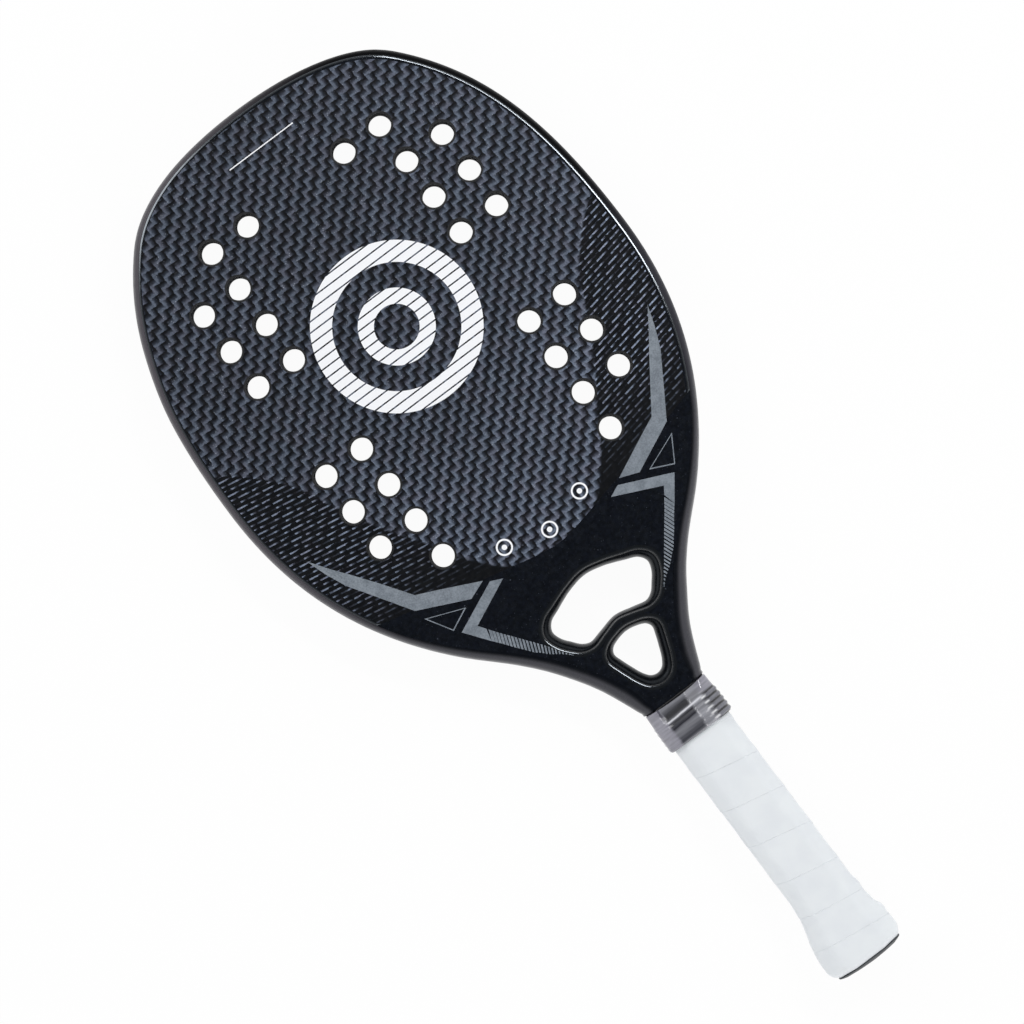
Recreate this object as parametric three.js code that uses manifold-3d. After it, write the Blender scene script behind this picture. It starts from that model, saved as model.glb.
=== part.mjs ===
// Beach tennis racket
// Lengths are in millimetres and +Z is up. Inside the racket group Y runs from the butt end (0) to
// the tip of the head, X runs across the face, and Z = 0 is the plane halfway through the head.
// The racket lies on its back, with its front striking face up.
import * as THREE from 'three';
import { mergeVertices } from 'three/addons/utils/BufferGeometryUtils.js';
import Module from 'manifold-3d';

const wasm = await Module();
wasm.setup();

// Overall sizes
const LENGTH = 500;
const HANDLE_LENGTH = 157; // butt end to the neck, where the throat starts to open
const HEAD_WIDTH = 231.5;
const NECK_WIDTH = 36.3;
const HEAD_THICKNESS = 22;

// Fits
const CLEARANCE = 0.3; // between curved neighbours
const OVERRUN = 5; // how far a cutting body runs past what it cuts

// Moulded frame tube: a hollow D section with its round side out
const TUBE_WIDTH = 10;
const TUBE_WALL = 1.2;
const TUBE_CORNER = 1;
const EDGE_ROUND_HEAD = 3.2; // flat face to the outermost edge, round the head
const EDGE_ROUND_NECK = 6.2; // the same at the neck, where the frame is rounder
const EDGE_ROUND_LEG = 4.2;
const SHEET_REST = 0.4; // how far the tube's flat runs out past the sheets that lie on it
const LEG_HEIGHT = 17.6; // of each tube leg inside the handle

// Carbon sheets
const SHEET_THICKNESS = 0.8;

// Throat, from the neck up: solid neck, small opening, brace, large opening, bridge
const NECK_DEPTH = 11.5;
const SMALL_OPENING_LENGTH = 24.6;
const SMALL_OPENING_WEB = 4.7; // opening's rim to the tube beside it
const BRACE_DEPTH = 6;
const LARGE_OPENING_LENGTH = 26.8;
const LARGE_OPENING_WEB = 6;
const BRIDGE_DEPTH = 19.4;
const RIM_WIDTH = 4.8; // plan width of the dished wall round each opening

// Lower edge of the striking faces: two straight sides that meet in a soft point
const FACE_EDGE_SOFTNESS = 8;
const faceEdgeSlopeShare = 0.24;

// Drilled holes, in an upper and a lower field of each side
const HOLE_DIAMETER = 11;
const HOLE_PITCH = 21;
const HOLE_FIRST_COLUMN = 28.5;
const HOLE_FIELD_GAP = 52.6; // last row of the upper field to the first row of the lower one
const HOLE_FIELD_DROP = 9.8; // middle of that gap below the middle of the face
const HOLE_EDGE_MARGIN = 3; // least material between a hole and the edge of the core
const HOLE_SIDE_STEP = 1.5; // the drilled pattern lies this far to the right of the middle line
const holeTurnDegrees = 0.4; // and is turned by this much about its own middle

// Handle section: an octagon with soft corners, given at the outside of the grip
const GRIP_WIDTH = 31.8;
const GRIP_DEPTH = 28;
const GRIP_BEVEL = 5.9;
const GRIP_CORNER = 1.6;
const OVERGRIP_THICKNESS = 1;
const OVERGRIP_PITCH = 20.8;
const OVERGRIP_SEAM = 0.6; // gap between one turn and the next
const OVERGRIP_TIP = 2; // width of the band where its cut ends taper out
const UNDERWRAP_THICKNESS = 1.2;
const PALLET_WALL = 2;
const PALLET_CHAMFER = 2.2;
const SPACER_WIDTH = 4.2;
const SPACER_HEIGHT = 17;

// Flare at the butt
const FLARE_WIDTH = 4.6; // how far the grip swells out on each side
const FLARE_DEPTH = 3.8;
const FLARE_LENGTH = 46; // butt end to where the swelling starts
const FLARE_PEAK = 12; // butt end to where it is full
const END_ROUND_LENGTH = 7;
const END_ROUND_DEPTH = 8;
const CAP_LENGTH = 34;
const CAP_EASE = 0.6; // how much deeper under the wrap the cap's rounded end corner lies
const PLUG_FLANGE = 2.1;
const PLUG_EDGE = 0.9; // how far the flange's rim is set in at the end face, three times over
const PLUG_SPIGOT = 5.6;
const PLUG_WALL = 1.6;

// Ribbed collar over the top of the grip
const COLLAR_LENGTH = 20.8;
const COLLAR_WALL = 0.8;
const COLLAR_LAP = 7; // how far it reaches down over the overgrip
const COLLAR_SHOULDER = 1.4; // neck line to the step that its top edge butts against
const COLLAR_LIP_WIDTH = 34.2; // outside width at its top edge
const COLLAR_BEVEL_TOP = 3.8;
const COLLAR_RIB_PITCH = 2.8;
const COLLAR_RIB_HEIGHT = 0.5;
const COLLAR_RIB_COUNT = 5;
const TAPE_THICKNESS = 0.3;
const TAPE_WIDTH = 5;

// Fineness of the facets
const OUTLINE_STEPS = 36;
const EDGE_STEPS = 6;
const HOLE_SIDES = 12;
const RIM_SIDES = 40;
const EDGE_CURVE_STEPS = 12;
const BAND_STEPS = 5;
const RING_SIDES = 16;

// Half the outline from the tip to the neck, as cubic curves that share their ends: each point is a
// share of half the head's width across, and of the length above the handle
const outlineShares = [
  [0, 1],
  [0.395, 1],
  [0.582, 0.963],
  [0.673, 0.928],
  [0.916, 0.836],
  [1, 0.723],
  [1, 0.557],
  [1, 0.405],
  [0.83, 0.288],
  [0.528, 0.187],
  [0.278, 0.104],
  [0.236, 0.068],
  [0, 0],
];

// Half of each opening from the middle of its top edge to the middle of its bottom edge: share of
// the half-width, share of the length, and share of the rim's width that the dished wall takes there
const largeOpeningShares = [
  [0, 1, 0.66],
  [0.35, 0.933, 0.65],
  [0.7, 0.79, 0.75],
  [0.91, 0.69, 0.85],
  [1, 0.54, 1],
  [0.957, 0.366, 1],
  [0.84, 0.2, 1],
  [0.72, 0.06, 0.9],
  [0.59, 0, 0.7],
  [0.35, 0.049, 0.58],
  [0, 0.123, 0.52],
];
const smallOpeningShares = [
  [0, 1, 0.62],
  [0.5, 0.962, 0.62],
  [0.86, 0.888, 0.7],
  [1, 0.776, 0.95],
  [0.89, 0.593, 1],
  [0.757, 0.431, 1],
  [0.504, 0.167, 1.1],
  [0.278, 0.04, 1.25],
  [0, 0, 1.35],
];

// The dished wall from the flat face down to the mid-plane: a short steep step under the rim's edge,
// then a lip that bulges to its narrowest at the mid-plane (share of the height, share of the rim)
const rimProfileShares = [
  [1, 1],
  [0.74, 0.86],
  [0.62, 0.56],
  [0.42, 0.24],
  [0.2, 0.05],
  [0, 0],
];

// Rows of holes that each column has in a field, as first and last, counted down from its top row
const upperFieldRows = [[0, 0], [0, 3], [1, 3]];
const lowerFieldRows = [[0, -1], [0, 3], [0, 2]];

// Sizes that follow from those above
const halfThickness = HEAD_THICKNESS / 2;
const coreHalf = halfThickness - SHEET_THICKNESS;
const faceEdgeY = HANDLE_LENGTH + NECK_DEPTH + SMALL_OPENING_LENGTH + BRACE_DEPTH
  + LARGE_OPENING_LENGTH + BRIDGE_DEPTH;
const smallOpeningY = HANDLE_LENGTH + NECK_DEPTH;
const largeOpeningY = smallOpeningY + SMALL_OPENING_LENGTH + BRACE_DEPTH;
const shoulderY = HANDLE_LENGTH - COLLAR_SHOULDER;
const collarTopY = shoulderY - CLEARANCE;
const collarBottomY = collarTopY - COLLAR_LENGTH;
const wrapTopY = collarBottomY + COLLAR_LAP;
const wrapBottomY = PLUG_FLANGE + CLEARANCE;
const legBottomY = PLUG_FLANGE + PLUG_SPIGOT + CLEARANCE;

// Depths below the outside of the grip, layer by layer
const capOutside = OVERGRIP_THICKNESS + CLEARANCE;
const palletOutside = capOutside + UNDERWRAP_THICKNESS + CLEARANCE;
const legOutsideHalf = GRIP_WIDTH / 2 - palletOutside - PALLET_WALL - CLEARANCE;
const legWidth = legOutsideHalf - SPACER_WIDTH / 2 - CLEARANCE;

// Finishes
const weave = { color: 0x4b505f, roughness: 0.38, metalness: 0.1 };
const satinBlack = { color: 0x0e0f14, roughness: 0.35, metalness: 0.1 };
const tubeBlack = { color: 0x2b2c30, roughness: 0.45, metalness: 0.1 };
const foam = { color: 0x23262b, roughness: 0.95, metalness: 0 };
const palletFoam = { color: 0xb9a988, roughness: 0.9, metalness: 0 };
const cushion = { color: 0x1c1d20, roughness: 0.9, metalness: 0 };
const whiteWrap = { color: 0xe1e6ec, roughness: 0.75, metalness: 0 };
const smokedRubber = { color: 0x5c5e66, roughness: 0.3, metalness: 0 };
const slatePlastic = { color: 0x373c42, roughness: 0.5, metalness: 0 };
const blackTape = { color: 0x101114, roughness: 0.4, metalness: 0 };

// Turns a mesh inside out where its faces point inwards
function facingOut(geometry) {
  const place = geometry.attributes.position;
  const index = geometry.index.array;
  const [a, b, c] = [new THREE.Vector3(), new THREE.Vector3(), new THREE.Vector3()];
  let volume = 0;
  for (let corner = 0; corner < index.length; corner += 3) {
    a.fromBufferAttribute(place, index[corner]);
    b.fromBufferAttribute(place, index[corner + 1]);
    c.fromBufferAttribute(place, index[corner + 2]);
    volume += a.dot(b.cross(c));
  }
  if (volume < 0) {
    index.reverse();
  }
  return geometry;
}

// A closed mesh through rings that all have the same number of points. With wrap the last ring joins
// the first, as in a hollow wall with an outer and an inner skin, otherwise fans close the two ends.
function skinRings(rings, wrap) {
  const sides = rings[0].length;
  const places = rings.flat();
  const faces = [];
  const bands = wrap ? rings.length : rings.length - 1;
  for (let ring = 0; ring < bands; ring += 1) {
    const here = ring * sides;
    const next = ((ring + 1) % rings.length) * sides;
    for (let side = 0; side < sides; side += 1) {
      const after = (side + 1) % sides;
      faces.push(here + side, next + side, next + after);
      faces.push(here + side, next + after, here + after);
    }
  }
  if (!wrap) {
    closeEnd(places, faces, 0, sides, false);
    closeEnd(places, faces, (rings.length - 1) * sides, sides, true);
  }
  const geometry = new THREE.BufferGeometry();
  const numbers = places.flatMap((place) => [place.x, place.y, place.z]);
  geometry.setAttribute('position', new THREE.Float32BufferAttribute(numbers, 3));
  geometry.setIndex(new THREE.BufferAttribute(Uint32Array.from(faces), 1));
  return facingOut(geometry);
}

// A fan of faces from the middle of the ring that starts at the given place
function closeEnd(places, faces, start, sides, last) {
  const middle = new THREE.Vector3();
  for (let side = 0; side < sides; side += 1) {
    middle.addScaledVector(places[start + side], 1 / sides);
  }
  const centre = places.push(middle) - 1;
  for (let side = 0; side < sides; side += 1) {
    const here = start + side;
    const after = start + (side + 1) % sides;
    faces.push(centre, last ? after : here, last ? here : after);
  }
}

// A geometry as a solid that can be cut and joined
function toSolid(geometry) {
  const bare = geometry.clone();
  bare.deleteAttribute('normal');
  bare.deleteAttribute('uv');
  const merged = mergeVertices(bare);
  return new wasm.Manifold(new wasm.Mesh({
    numProp: 3,
    vertProperties: merged.attributes.position.array,
    triVerts: Uint32Array.from(merged.index.array),
  }));
}

// A solid's vertices and triangles as a geometry
function toGeometry(solid) {
  const mesh = solid.getMesh();
  const geometry = new THREE.BufferGeometry();
  geometry.setAttribute('position', new THREE.Float32BufferAttribute(mesh.vertProperties, 3));
  geometry.setIndex(new THREE.BufferAttribute(mesh.triVerts, 1));
  return geometry;
}

// A flat plate of the given plan between two heights, as a solid
function plate(plan, low, high) {
  const shape = new THREE.Shape(plan.map((point) => new THREE.Vector2(point.x, point.y)));
  const geometry = new THREE.ExtrudeGeometry(shape, { depth: high - low, bevelEnabled: false });
  geometry.translate(0, 0, low);
  return toSolid(geometry);
}

// Stations down one half of the frame, from the tip of the head to the end of the leg in the handle.
// Each has its place on the outside edge, the way in from it, and the tube's sizes there.
function frameStations() {
  const aboveHandle = LENGTH - HANDLE_LENGTH;
  const points = outlineShares.map(([across, along]) => new THREE.Vector2(
    across * HEAD_WIDTH / 2,
    HANDLE_LENGTH + along * aboveHandle,
  ));
  points.at(-1).x = NECK_WIDTH / 2;
  const path = new THREE.CurvePath();
  for (let first = 0; first + 3 < points.length; first += 3) {
    path.add(new THREE.CubicBezierCurve(...points.slice(first, first + 4)));
  }
  const level = new THREE.Vector2(-1, 0);
  const stations = [];
  for (let step = 0; step <= OUTLINE_STEPS; step += 1) {
    const point = path.getPoint(step / OUTLINE_STEPS);
    const tangent = path.getTangent(step / OUTLINE_STEPS);
    const inward = new THREE.Vector2(tangent.y, -tangent.x);
    const turn = 1 - THREE.MathUtils.smoothstep(point.y, HANDLE_LENGTH, smallOpeningY);
    const throat = 1 - THREE.MathUtils.smoothstep(point.y, HANDLE_LENGTH, faceEdgeY);
    stations.push({
      point,
      inward: inward.lerp(level, turn).normalize(),
      round: THREE.MathUtils.lerp(EDGE_ROUND_HEAD, EDGE_ROUND_NECK, throat),
      width: TUBE_WIDTH,
      halfHeight: coreHalf,
    });
  }
  return [...stations, ...legStations(level)];
}

// Stations below the neck: a step in for the collar, a taper, and the straight leg in the handle
function legStations(level) {
  const taperSteps = 5;
  const seatHalf = COLLAR_LIP_WIDTH / 2 - COLLAR_WALL - CLEARANCE;
  const shoulder = {
    point: new THREE.Vector2(NECK_WIDTH / 2, shoulderY),
    inward: level,
    round: EDGE_ROUND_NECK,
    width: TUBE_WIDTH,
    halfHeight: coreHalf,
  };
  const stations = [shoulder];
  for (let step = 0; step <= taperSteps; step += 1) {
    const along = step / taperSteps;
    const taper = THREE.MathUtils.smoothstep(along, 0, 1);
    const across = THREE.MathUtils.lerp(seatHalf, legOutsideHalf, taper);
    const down = THREE.MathUtils.lerp(collarTopY, wrapTopY + CLEARANCE, along);
    stations.push({
      point: new THREE.Vector2(across, down),
      inward: level,
      round: THREE.MathUtils.lerp(EDGE_ROUND_NECK, EDGE_ROUND_LEG, taper),
      width: THREE.MathUtils.lerp(TUBE_WIDTH, legWidth, taper),
      halfHeight: THREE.MathUtils.lerp(coreHalf, LEG_HEIGHT / 2, taper),
    });
  }
  const end = stations.at(-1);
  stations.push({ ...end, point: new THREE.Vector2(legOutsideHalf, legBottomY) });
  return stations;
}

const rightStations = frameStations();

// Both halves, from the left leg's end over the head to the right leg's end
function wholeFrame() {
  const left = rightStations.slice(1).reverse().map((station) => ({
    ...station,
    point: new THREE.Vector2(-station.point.x, station.point.y),
    inward: new THREE.Vector2(-station.inward.x, station.inward.y),
  }));
  return [...left, ...rightStations];
}

const stations = wholeFrame();

// The frame's outline moved in by an inset that may depend on the station
function insetOutline(inset) {
  return stations.map((station) => station.point.clone().addScaledVector(station.inward, inset(station)));
}

// The tube's section as pairs of inset from the outer edge and height. Its outer side is a curve
// whose inset grows with the third power of the height, and its inner side is flat.
function tubeSection(station, wall) {
  const top = station.halfHeight - wall;
  const room = station.width - 2 * wall - 2 * TUBE_CORNER;
  const round = Math.min(station.round - SHEET_REST, room);
  const section = [];
  for (let step = 0; step <= EDGE_STEPS; step += 1) {
    const rise = Math.sin((step / EDGE_STEPS - 0.5) * Math.PI);
    const inset = wall + round * (1 - Math.sqrt(1 - Math.abs(rise) ** 3));
    section.push([inset, top * rise]);
  }
  const inner = station.width - wall;
  section.push([inner - TUBE_CORNER, top], [inner, top - TUBE_CORNER]);
  section.push([inner, TUBE_CORNER - top], [inner - TUBE_CORNER, -top]);
  return section;
}

// One ring of the tube at a station
function tubeRing(station, wall) {
  return tubeSection(station, wall).map(([inset, height]) => new THREE.Vector3(
    station.point.x + station.inward.x * inset,
    station.point.y + station.inward.y * inset,
    height,
  ));
}

// The hollow tube, open at both leg ends
function frameTube() {
  const outside = stations.map((station) => tubeRing(station, 0));
  const inside = stations.map((station) => tubeRing(station, TUBE_WALL)).reverse();
  return skinRings([...outside, ...inside], true);
}

// The edge where the striking faces stop and the throat starts, raised or lowered by a gap. Its
// height grows as the square root of the distance squared plus the softness squared.
function faceEdge(gap) {
  const reach = HEAD_WIDTH / 2 + OVERRUN;
  const points = [];
  for (let step = 0; step <= EDGE_CURVE_STEPS; step += 1) {
    const across = reach * (2 * step / EDGE_CURVE_STEPS - 1);
    const far = Math.hypot(across, FACE_EDGE_SOFTNESS) - FACE_EDGE_SOFTNESS;
    points.push(new THREE.Vector2(across, faceEdgeY + gap + faceEdgeSlopeShare * far));
  }
  return points;
}

// A tall block over everything above the faces' lower edge
function aboveFaceEdge() {
  const edge = faceEdge(0);
  const top = LENGTH + OVERRUN;
  const corners = [new THREE.Vector2(edge.at(-1).x, top), new THREE.Vector2(edge[0].x, top)];
  return plate([...edge, ...corners], -HEAD_THICKNESS, HEAD_THICKNESS);
}

// A tall block over everything from a line across the handle up to just below that edge
function belowFaceEdge(bottom) {
  const edge = faceEdge(-CLEARANCE);
  const corners = [new THREE.Vector2(edge.at(-1).x, bottom), new THREE.Vector2(edge[0].x, bottom)];
  return plate([...edge, ...corners], -HEAD_THICKNESS, HEAD_THICKNESS);
}

// Inside edge of the tube, and what lies against it
const insideTube = (station) => station.width + CLEARANCE;
const underRounding = (station) => station.round;

// Distance from the axis to the tube's inside edge at a height along the racket
function throatHalfWidth(along) {
  const edge = rightStations.map((station) => (
    station.point.clone().addScaledVector(station.inward, insideTube(station))
  ));
  const below = edge.findIndex((point, order) => order > OUTLINE_STEPS / 2 && point.y < along);
  const [high, low] = [edge[below - 1], edge[below]];
  return THREE.MathUtils.mapLinear(along, low.y, high.y, low.x, high.x);
}

// Points round an opening, clockwise from the middle of its top: place, way out and rim width
function openingPoints(shares, length, bottom, web) {
  const widest = shares.find(([across]) => across === 1);
  const halfWidth = throatHalfWidth(bottom + widest[1] * length) - web - RIM_WIDTH;
  const half = shares.map(([across, along, rim]) => new THREE.Vector3(
    across * halfWidth,
    bottom + along * length,
    rim * RIM_WIDTH,
  ));
  const mirrored = half.slice(1, -1).reverse().map((point) => new THREE.Vector3(-point.x, point.y, point.z));
  const curve = new THREE.CatmullRomCurve3([...half, ...mirrored], true);
  const points = curve.getSpacedPoints(RIM_SIDES).slice(0, -1);
  return points.map((point, order) => {
    const before = points.at(order - 1);
    const after = points[(order + 1) % points.length];
    const out = new THREE.Vector2(before.y - after.y, after.x - before.x).normalize();
    return { place: new THREE.Vector2(point.x, point.y), out, rim: point.z };
  });
}

// One ring of an opening's wall: the opening's points moved out by a share of the rim
function openingRing(points, share, height) {
  return points.map(({ place, out, rim }) => new THREE.Vector3(
    place.x + out.x * rim * share,
    place.y + out.y * rim * share,
    height,
  ));
}

// The body that cuts an opening with its dished wall through the yoke
function openingCutter(points) {
  const upper = rimProfileShares.map(([height, share]) => openingRing(points, share, height * coreHalf));
  const lower = rimProfileShares.slice(0, -1).reverse().map(([height, share]) => (
    openingRing(points, share, -height * coreHalf)
  ));
  const top = openingRing(points, 1, coreHalf + OVERRUN);
  const bottom = openingRing(points, 1, -coreHalf - OVERRUN);
  return toSolid(skinRings([top, ...upper, ...lower, bottom], false));
}

const openings = [
  openingPoints(smallOpeningShares, SMALL_OPENING_LENGTH, smallOpeningY, SMALL_OPENING_WEB),
  openingPoints(largeOpeningShares, LARGE_OPENING_LENGTH, largeOpeningY, LARGE_OPENING_WEB),
];

// The moulded Y between the tube legs: neck, brace and bridge round the two openings
function throatYoke() {
  const bottom = shoulderY - COLLAR_RIB_PITCH;
  let yoke = plate(insetOutline(insideTube), -coreHalf, coreHalf).intersect(belowFaceEdge(bottom));
  for (const points of openings) {
    yoke = yoke.subtract(openingCutter(points));
  }
  return toGeometry(yoke);
}

// A throat skin lies on the yoke and the tube, with both openings cut out at the rim's edge
function throatSkin(low, high) {
  let skin = plate(insetOutline(underRounding), low, high).intersect(belowFaceEdge(shoulderY));
  for (const points of openings) {
    skin = skin.subtract(plate(openingRing(points, 1, 0), low - OVERRUN, high + OVERRUN));
  }
  return toGeometry(skin);
}

// Centres of one field of holes on one side, its top row first
function fieldHoles(rows, topRow, side) {
  const centres = [];
  rows.forEach(([first, last], column) => {
    for (let row = first; row <= last; row += 1) {
      const across = side * (HOLE_FIRST_COLUMN + column * HOLE_PITCH);
      centres.push(new THREE.Vector2(across, topRow - row * HOLE_PITCH));
    }
  });
  return centres;
}

// Least distance from a point to the corners of the core's outline
function edgeDistance(centre, outline) {
  return Math.min(...outline.map((point) => point.distanceTo(centre)));
}

// Every hole that the core has room for
function holeCentres() {
  const middle = (faceEdgeY + LENGTH) / 2 - HOLE_FIELD_DROP;
  const rowsBelowTop = upperFieldRows.at(-1)[1];
  const upperTop = middle + HOLE_FIELD_GAP / 2 + rowsBelowTop * HOLE_PITCH;
  const lowerTop = middle - HOLE_FIELD_GAP / 2;
  const centres = [-1, 1].flatMap((side) => [
    ...fieldHoles(upperFieldRows, upperTop, side),
    ...fieldHoles(lowerFieldRows, lowerTop, side),
  ]);
  const pivot = new THREE.Vector2(0, middle);
  const turn = THREE.MathUtils.degToRad(holeTurnDegrees);
  const sideStep = new THREE.Vector2(HOLE_SIDE_STEP, 0);
  centres.forEach((centre) => centre.rotateAround(pivot, turn).add(sideStep));
  const outline = [...insetOutline(insideTube), ...faceEdge(0)];
  const room = HOLE_DIAMETER / 2 + HOLE_EDGE_MARGIN;
  return centres.filter((centre) => edgeDistance(centre, outline) > room);
}

// A drill as a many-sided rod through the head
function drill(centre) {
  const rod = new THREE.CylinderGeometry(HOLE_DIAMETER / 2, HOLE_DIAMETER / 2, 2 * HEAD_THICKNESS, HOLE_SIDES);
  rod.rotateX(Math.PI / 2);
  rod.translate(centre.x, centre.y, 0);
  return toSolid(rod);
}

const drills = holeCentres().map(drill);

// A layer of the head between two heights, cut at the faces' lower edge and drilled
function headLayer(inset, low, high) {
  let layer = plate(insetOutline(inset), low, high).intersect(aboveFaceEdge());
  for (const rod of drills) {
    layer = layer.subtract(rod);
  }
  return toGeometry(layer);
}

// Swelling of the grip towards the butt, from 0 to 1
function flareShare(along) {
  const rise = THREE.MathUtils.clamp((FLARE_LENGTH - along) / (FLARE_LENGTH - FLARE_PEAK), 0, 1);
  return THREE.MathUtils.smoothstep(rise ** 1.5, 0, 1);
}

// How far the butt's end corner is rounded off at a height along the racket
function endRounding(along) {
  const past = Math.max(0, 1 - along / END_ROUND_LENGTH);
  return END_ROUND_DEPTH * (1 - Math.sqrt(1 - past * past));
}

// An octagon across the handle with its corners cut once more: half-width, half-depth and bevel
function octagonRing(halfWidth, halfDepth, bevel, along) {
  const corners = [
    [halfWidth, bevel - halfDepth],
    [halfWidth, halfDepth - bevel],
    [halfWidth - bevel, halfDepth],
    [bevel - halfWidth, halfDepth],
    [-halfWidth, halfDepth - bevel],
    [-halfWidth, bevel - halfDepth],
    [bevel - halfWidth, -halfDepth],
    [halfWidth - bevel, -halfDepth],
  ].map(([across, height]) => new THREE.Vector3(across, along, height));
  return corners.flatMap((corner, order) => [corners.at(order - 1), corners[(order + 1) % 8]].map((other) => (
    corner.clone().addScaledVector(other.clone().sub(corner).normalize(), GRIP_CORNER)
  )));
}

// The grip's octagon at a depth below its outside. Parallel octagons lose (2 - root 2) of the depth
// from their bevel. With flared the ring follows the swelling and the rounding at the butt.
function gripRing(depth, along, flared) {
  const flare = flared ? flareShare(along) : 0;
  const rounding = flared ? endRounding(along) : 0;
  const bevel = GRIP_BEVEL + flare * (FLARE_WIDTH + FLARE_DEPTH) / 4 - (2 - Math.SQRT2) * depth;
  return octagonRing(
    GRIP_WIDTH / 2 + flare * FLARE_WIDTH - rounding - depth,
    GRIP_DEPTH / 2 + flare * FLARE_DEPTH - rounding - depth,
    bevel,
    along,
  );
}

// Share of the way round the grip at each corner of its ring
function turnShares() {
  const ring = gripRing(0, FLARE_LENGTH, true);
  const steps = ring.map((place, order) => place.distanceTo(ring.at(order - 1)));
  steps[0] = 0;
  const round = steps.reduce((sum, step) => sum + step, 0) + ring[0].distanceTo(ring.at(-1));
  let sum = 0;
  return steps.map((step) => {
    sum += step;
    return sum / round;
  });
}

// Sections of the overgrip: one band wound up the handle in a helix, with its ends cut square to the
// handle so that they taper out. Across the front it falls towards the butt from left to right.
function overgripSections() {
  const bandWidth = OVERGRIP_PITCH - OVERGRIP_SEAM;
  const climb = wrapTopY - wrapBottomY + bandWidth - 2 * OVERGRIP_TIP;
  const shares = turnShares();
  const sections = [];
  for (let order = 0; ; order += 1) {
    const side = order % RING_SIDES;
    const rise = OVERGRIP_PITCH * (Math.floor(order / RING_SIDES) + shares[side]);
    if (rise > climb) {
      return sections;
    }
    const start = wrapBottomY + OVERGRIP_TIP - bandWidth + rise;
    const low = Math.max(wrapBottomY, start);
    const high = Math.min(wrapTopY, start + bandWidth);
    const outside = [];
    const inside = [];
    for (let step = 0; step <= BAND_STEPS; step += 1) {
      const along = THREE.MathUtils.lerp(low, high, step / BAND_STEPS);
      outside.push(gripRing(0, along, true)[side]);
      inside.unshift(gripRing(OVERGRIP_THICKNESS, along, true)[side]);
    }
    sections.push([...outside, ...inside]);
  }
}

// Least distance between the points of two sections, one turn apart or nearly so
function leastSelfGap(sections) {
  let least = Infinity;
  sections.forEach((section, order) => {
    for (const step of [-1, 0, 1]) {
      const other = sections[order + RING_SIDES + step] ?? [];
      for (const place of section) {
        for (const near of other) {
          least = Math.min(least, place.distanceTo(near));
        }
      }
    }
  });
  return least;
}

function overgrip() {
  const sections = overgripSections();
  console.log(`overgrip: least gap between turns ${leastSelfGap(sections).toFixed(3)} mm`);
  return skinRings(sections, false);
}

// The cushioned sleeve under the overgrip, from the butt cap to the top of the handle
function underwrap() {
  const low = CAP_LENGTH + CLEARANCE;
  const levels = [low, (low + FLARE_LENGTH) / 2, FLARE_LENGTH, wrapTopY];
  const outside = levels.map((along) => gripRing(capOutside, along, true));
  const inside = [wrapTopY, low].map((along) => gripRing(capOutside + UNDERWRAP_THICKNESS, along, false));
  return skinRings([...outside, ...inside], true);
}

// Half of the foam handle moulded round the tube legs: a channel with an octagonal outside
function handlePallet(side) {
  const halfWidth = GRIP_WIDTH / 2 - palletOutside;
  const innerHalf = legOutsideHalf + CLEARANCE;
  const innerTop = LEG_HEIGHT / 2 + CLEARANCE;
  const split = CLEARANCE / 2;
  const arch = gripRing(palletOutside, 0, false).filter((place) => place.z > 0);
  const outline = [
    [innerHalf, split],
    [halfWidth, split],
    ...arch.map((place) => [place.x, place.z]),
    [-halfWidth, split],
    [-innerHalf, split],
    [-innerHalf, innerTop - PALLET_CHAMFER],
    [PALLET_CHAMFER - innerHalf, innerTop],
    [innerHalf - PALLET_CHAMFER, innerTop],
    [innerHalf, innerTop - PALLET_CHAMFER],
  ].map(([across, height]) => new THREE.Vector2(across, height));
  const depth = wrapTopY - legBottomY;
  const geometry = new THREE.ExtrudeGeometry(new THREE.Shape(outline), { depth, bevelEnabled: false });
  geometry.rotateX(Math.PI / 2);
  geometry.translate(0, wrapTopY, 0);
  if (side < 0) {
    geometry.rotateY(Math.PI);
  }
  return toGeometry(toSolid(geometry));
}

// The foam strip between the two tube legs
function handleSpacer() {
  const top = shoulderY - COLLAR_RIB_PITCH - CLEARANCE;
  const reach = HEAD_WIDTH / 2;
  const band = [[-reach, legBottomY], [reach, legBottomY], [reach, top], [-reach, top]];
  const region = plate(band.map(([x, y]) => new THREE.Vector2(x, y)), -HEAD_THICKNESS, HEAD_THICKNESS);
  const inside = plate(insetOutline(insideTube), -SPACER_HEIGHT / 2, SPACER_HEIGHT / 2);
  return toGeometry(inside.intersect(region));
}

// The flared cap on the end of the handle, under the overgrip
function buttCap() {
  const bottom = wrapBottomY;
  const outside = [
    gripRing(capOutside + CAP_EASE, bottom, true),
    gripRing(capOutside + CAP_EASE / 2, (bottom + END_ROUND_LENGTH) / 2, true),
    gripRing(capOutside + CAP_EASE / 2, END_ROUND_LENGTH, true),
  ];
  const steps = 5;
  for (let step = 0; step <= steps; step += 1) {
    const along = THREE.MathUtils.lerp(FLARE_PEAK, CAP_LENGTH, step / steps);
    outside.push(gripRing(capOutside, along, true));
  }
  const inside = [CAP_LENGTH, bottom].map((along) => gripRing(palletOutside - CLEARANCE, along, false));
  return skinRings([...outside, ...inside], true);
}

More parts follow.
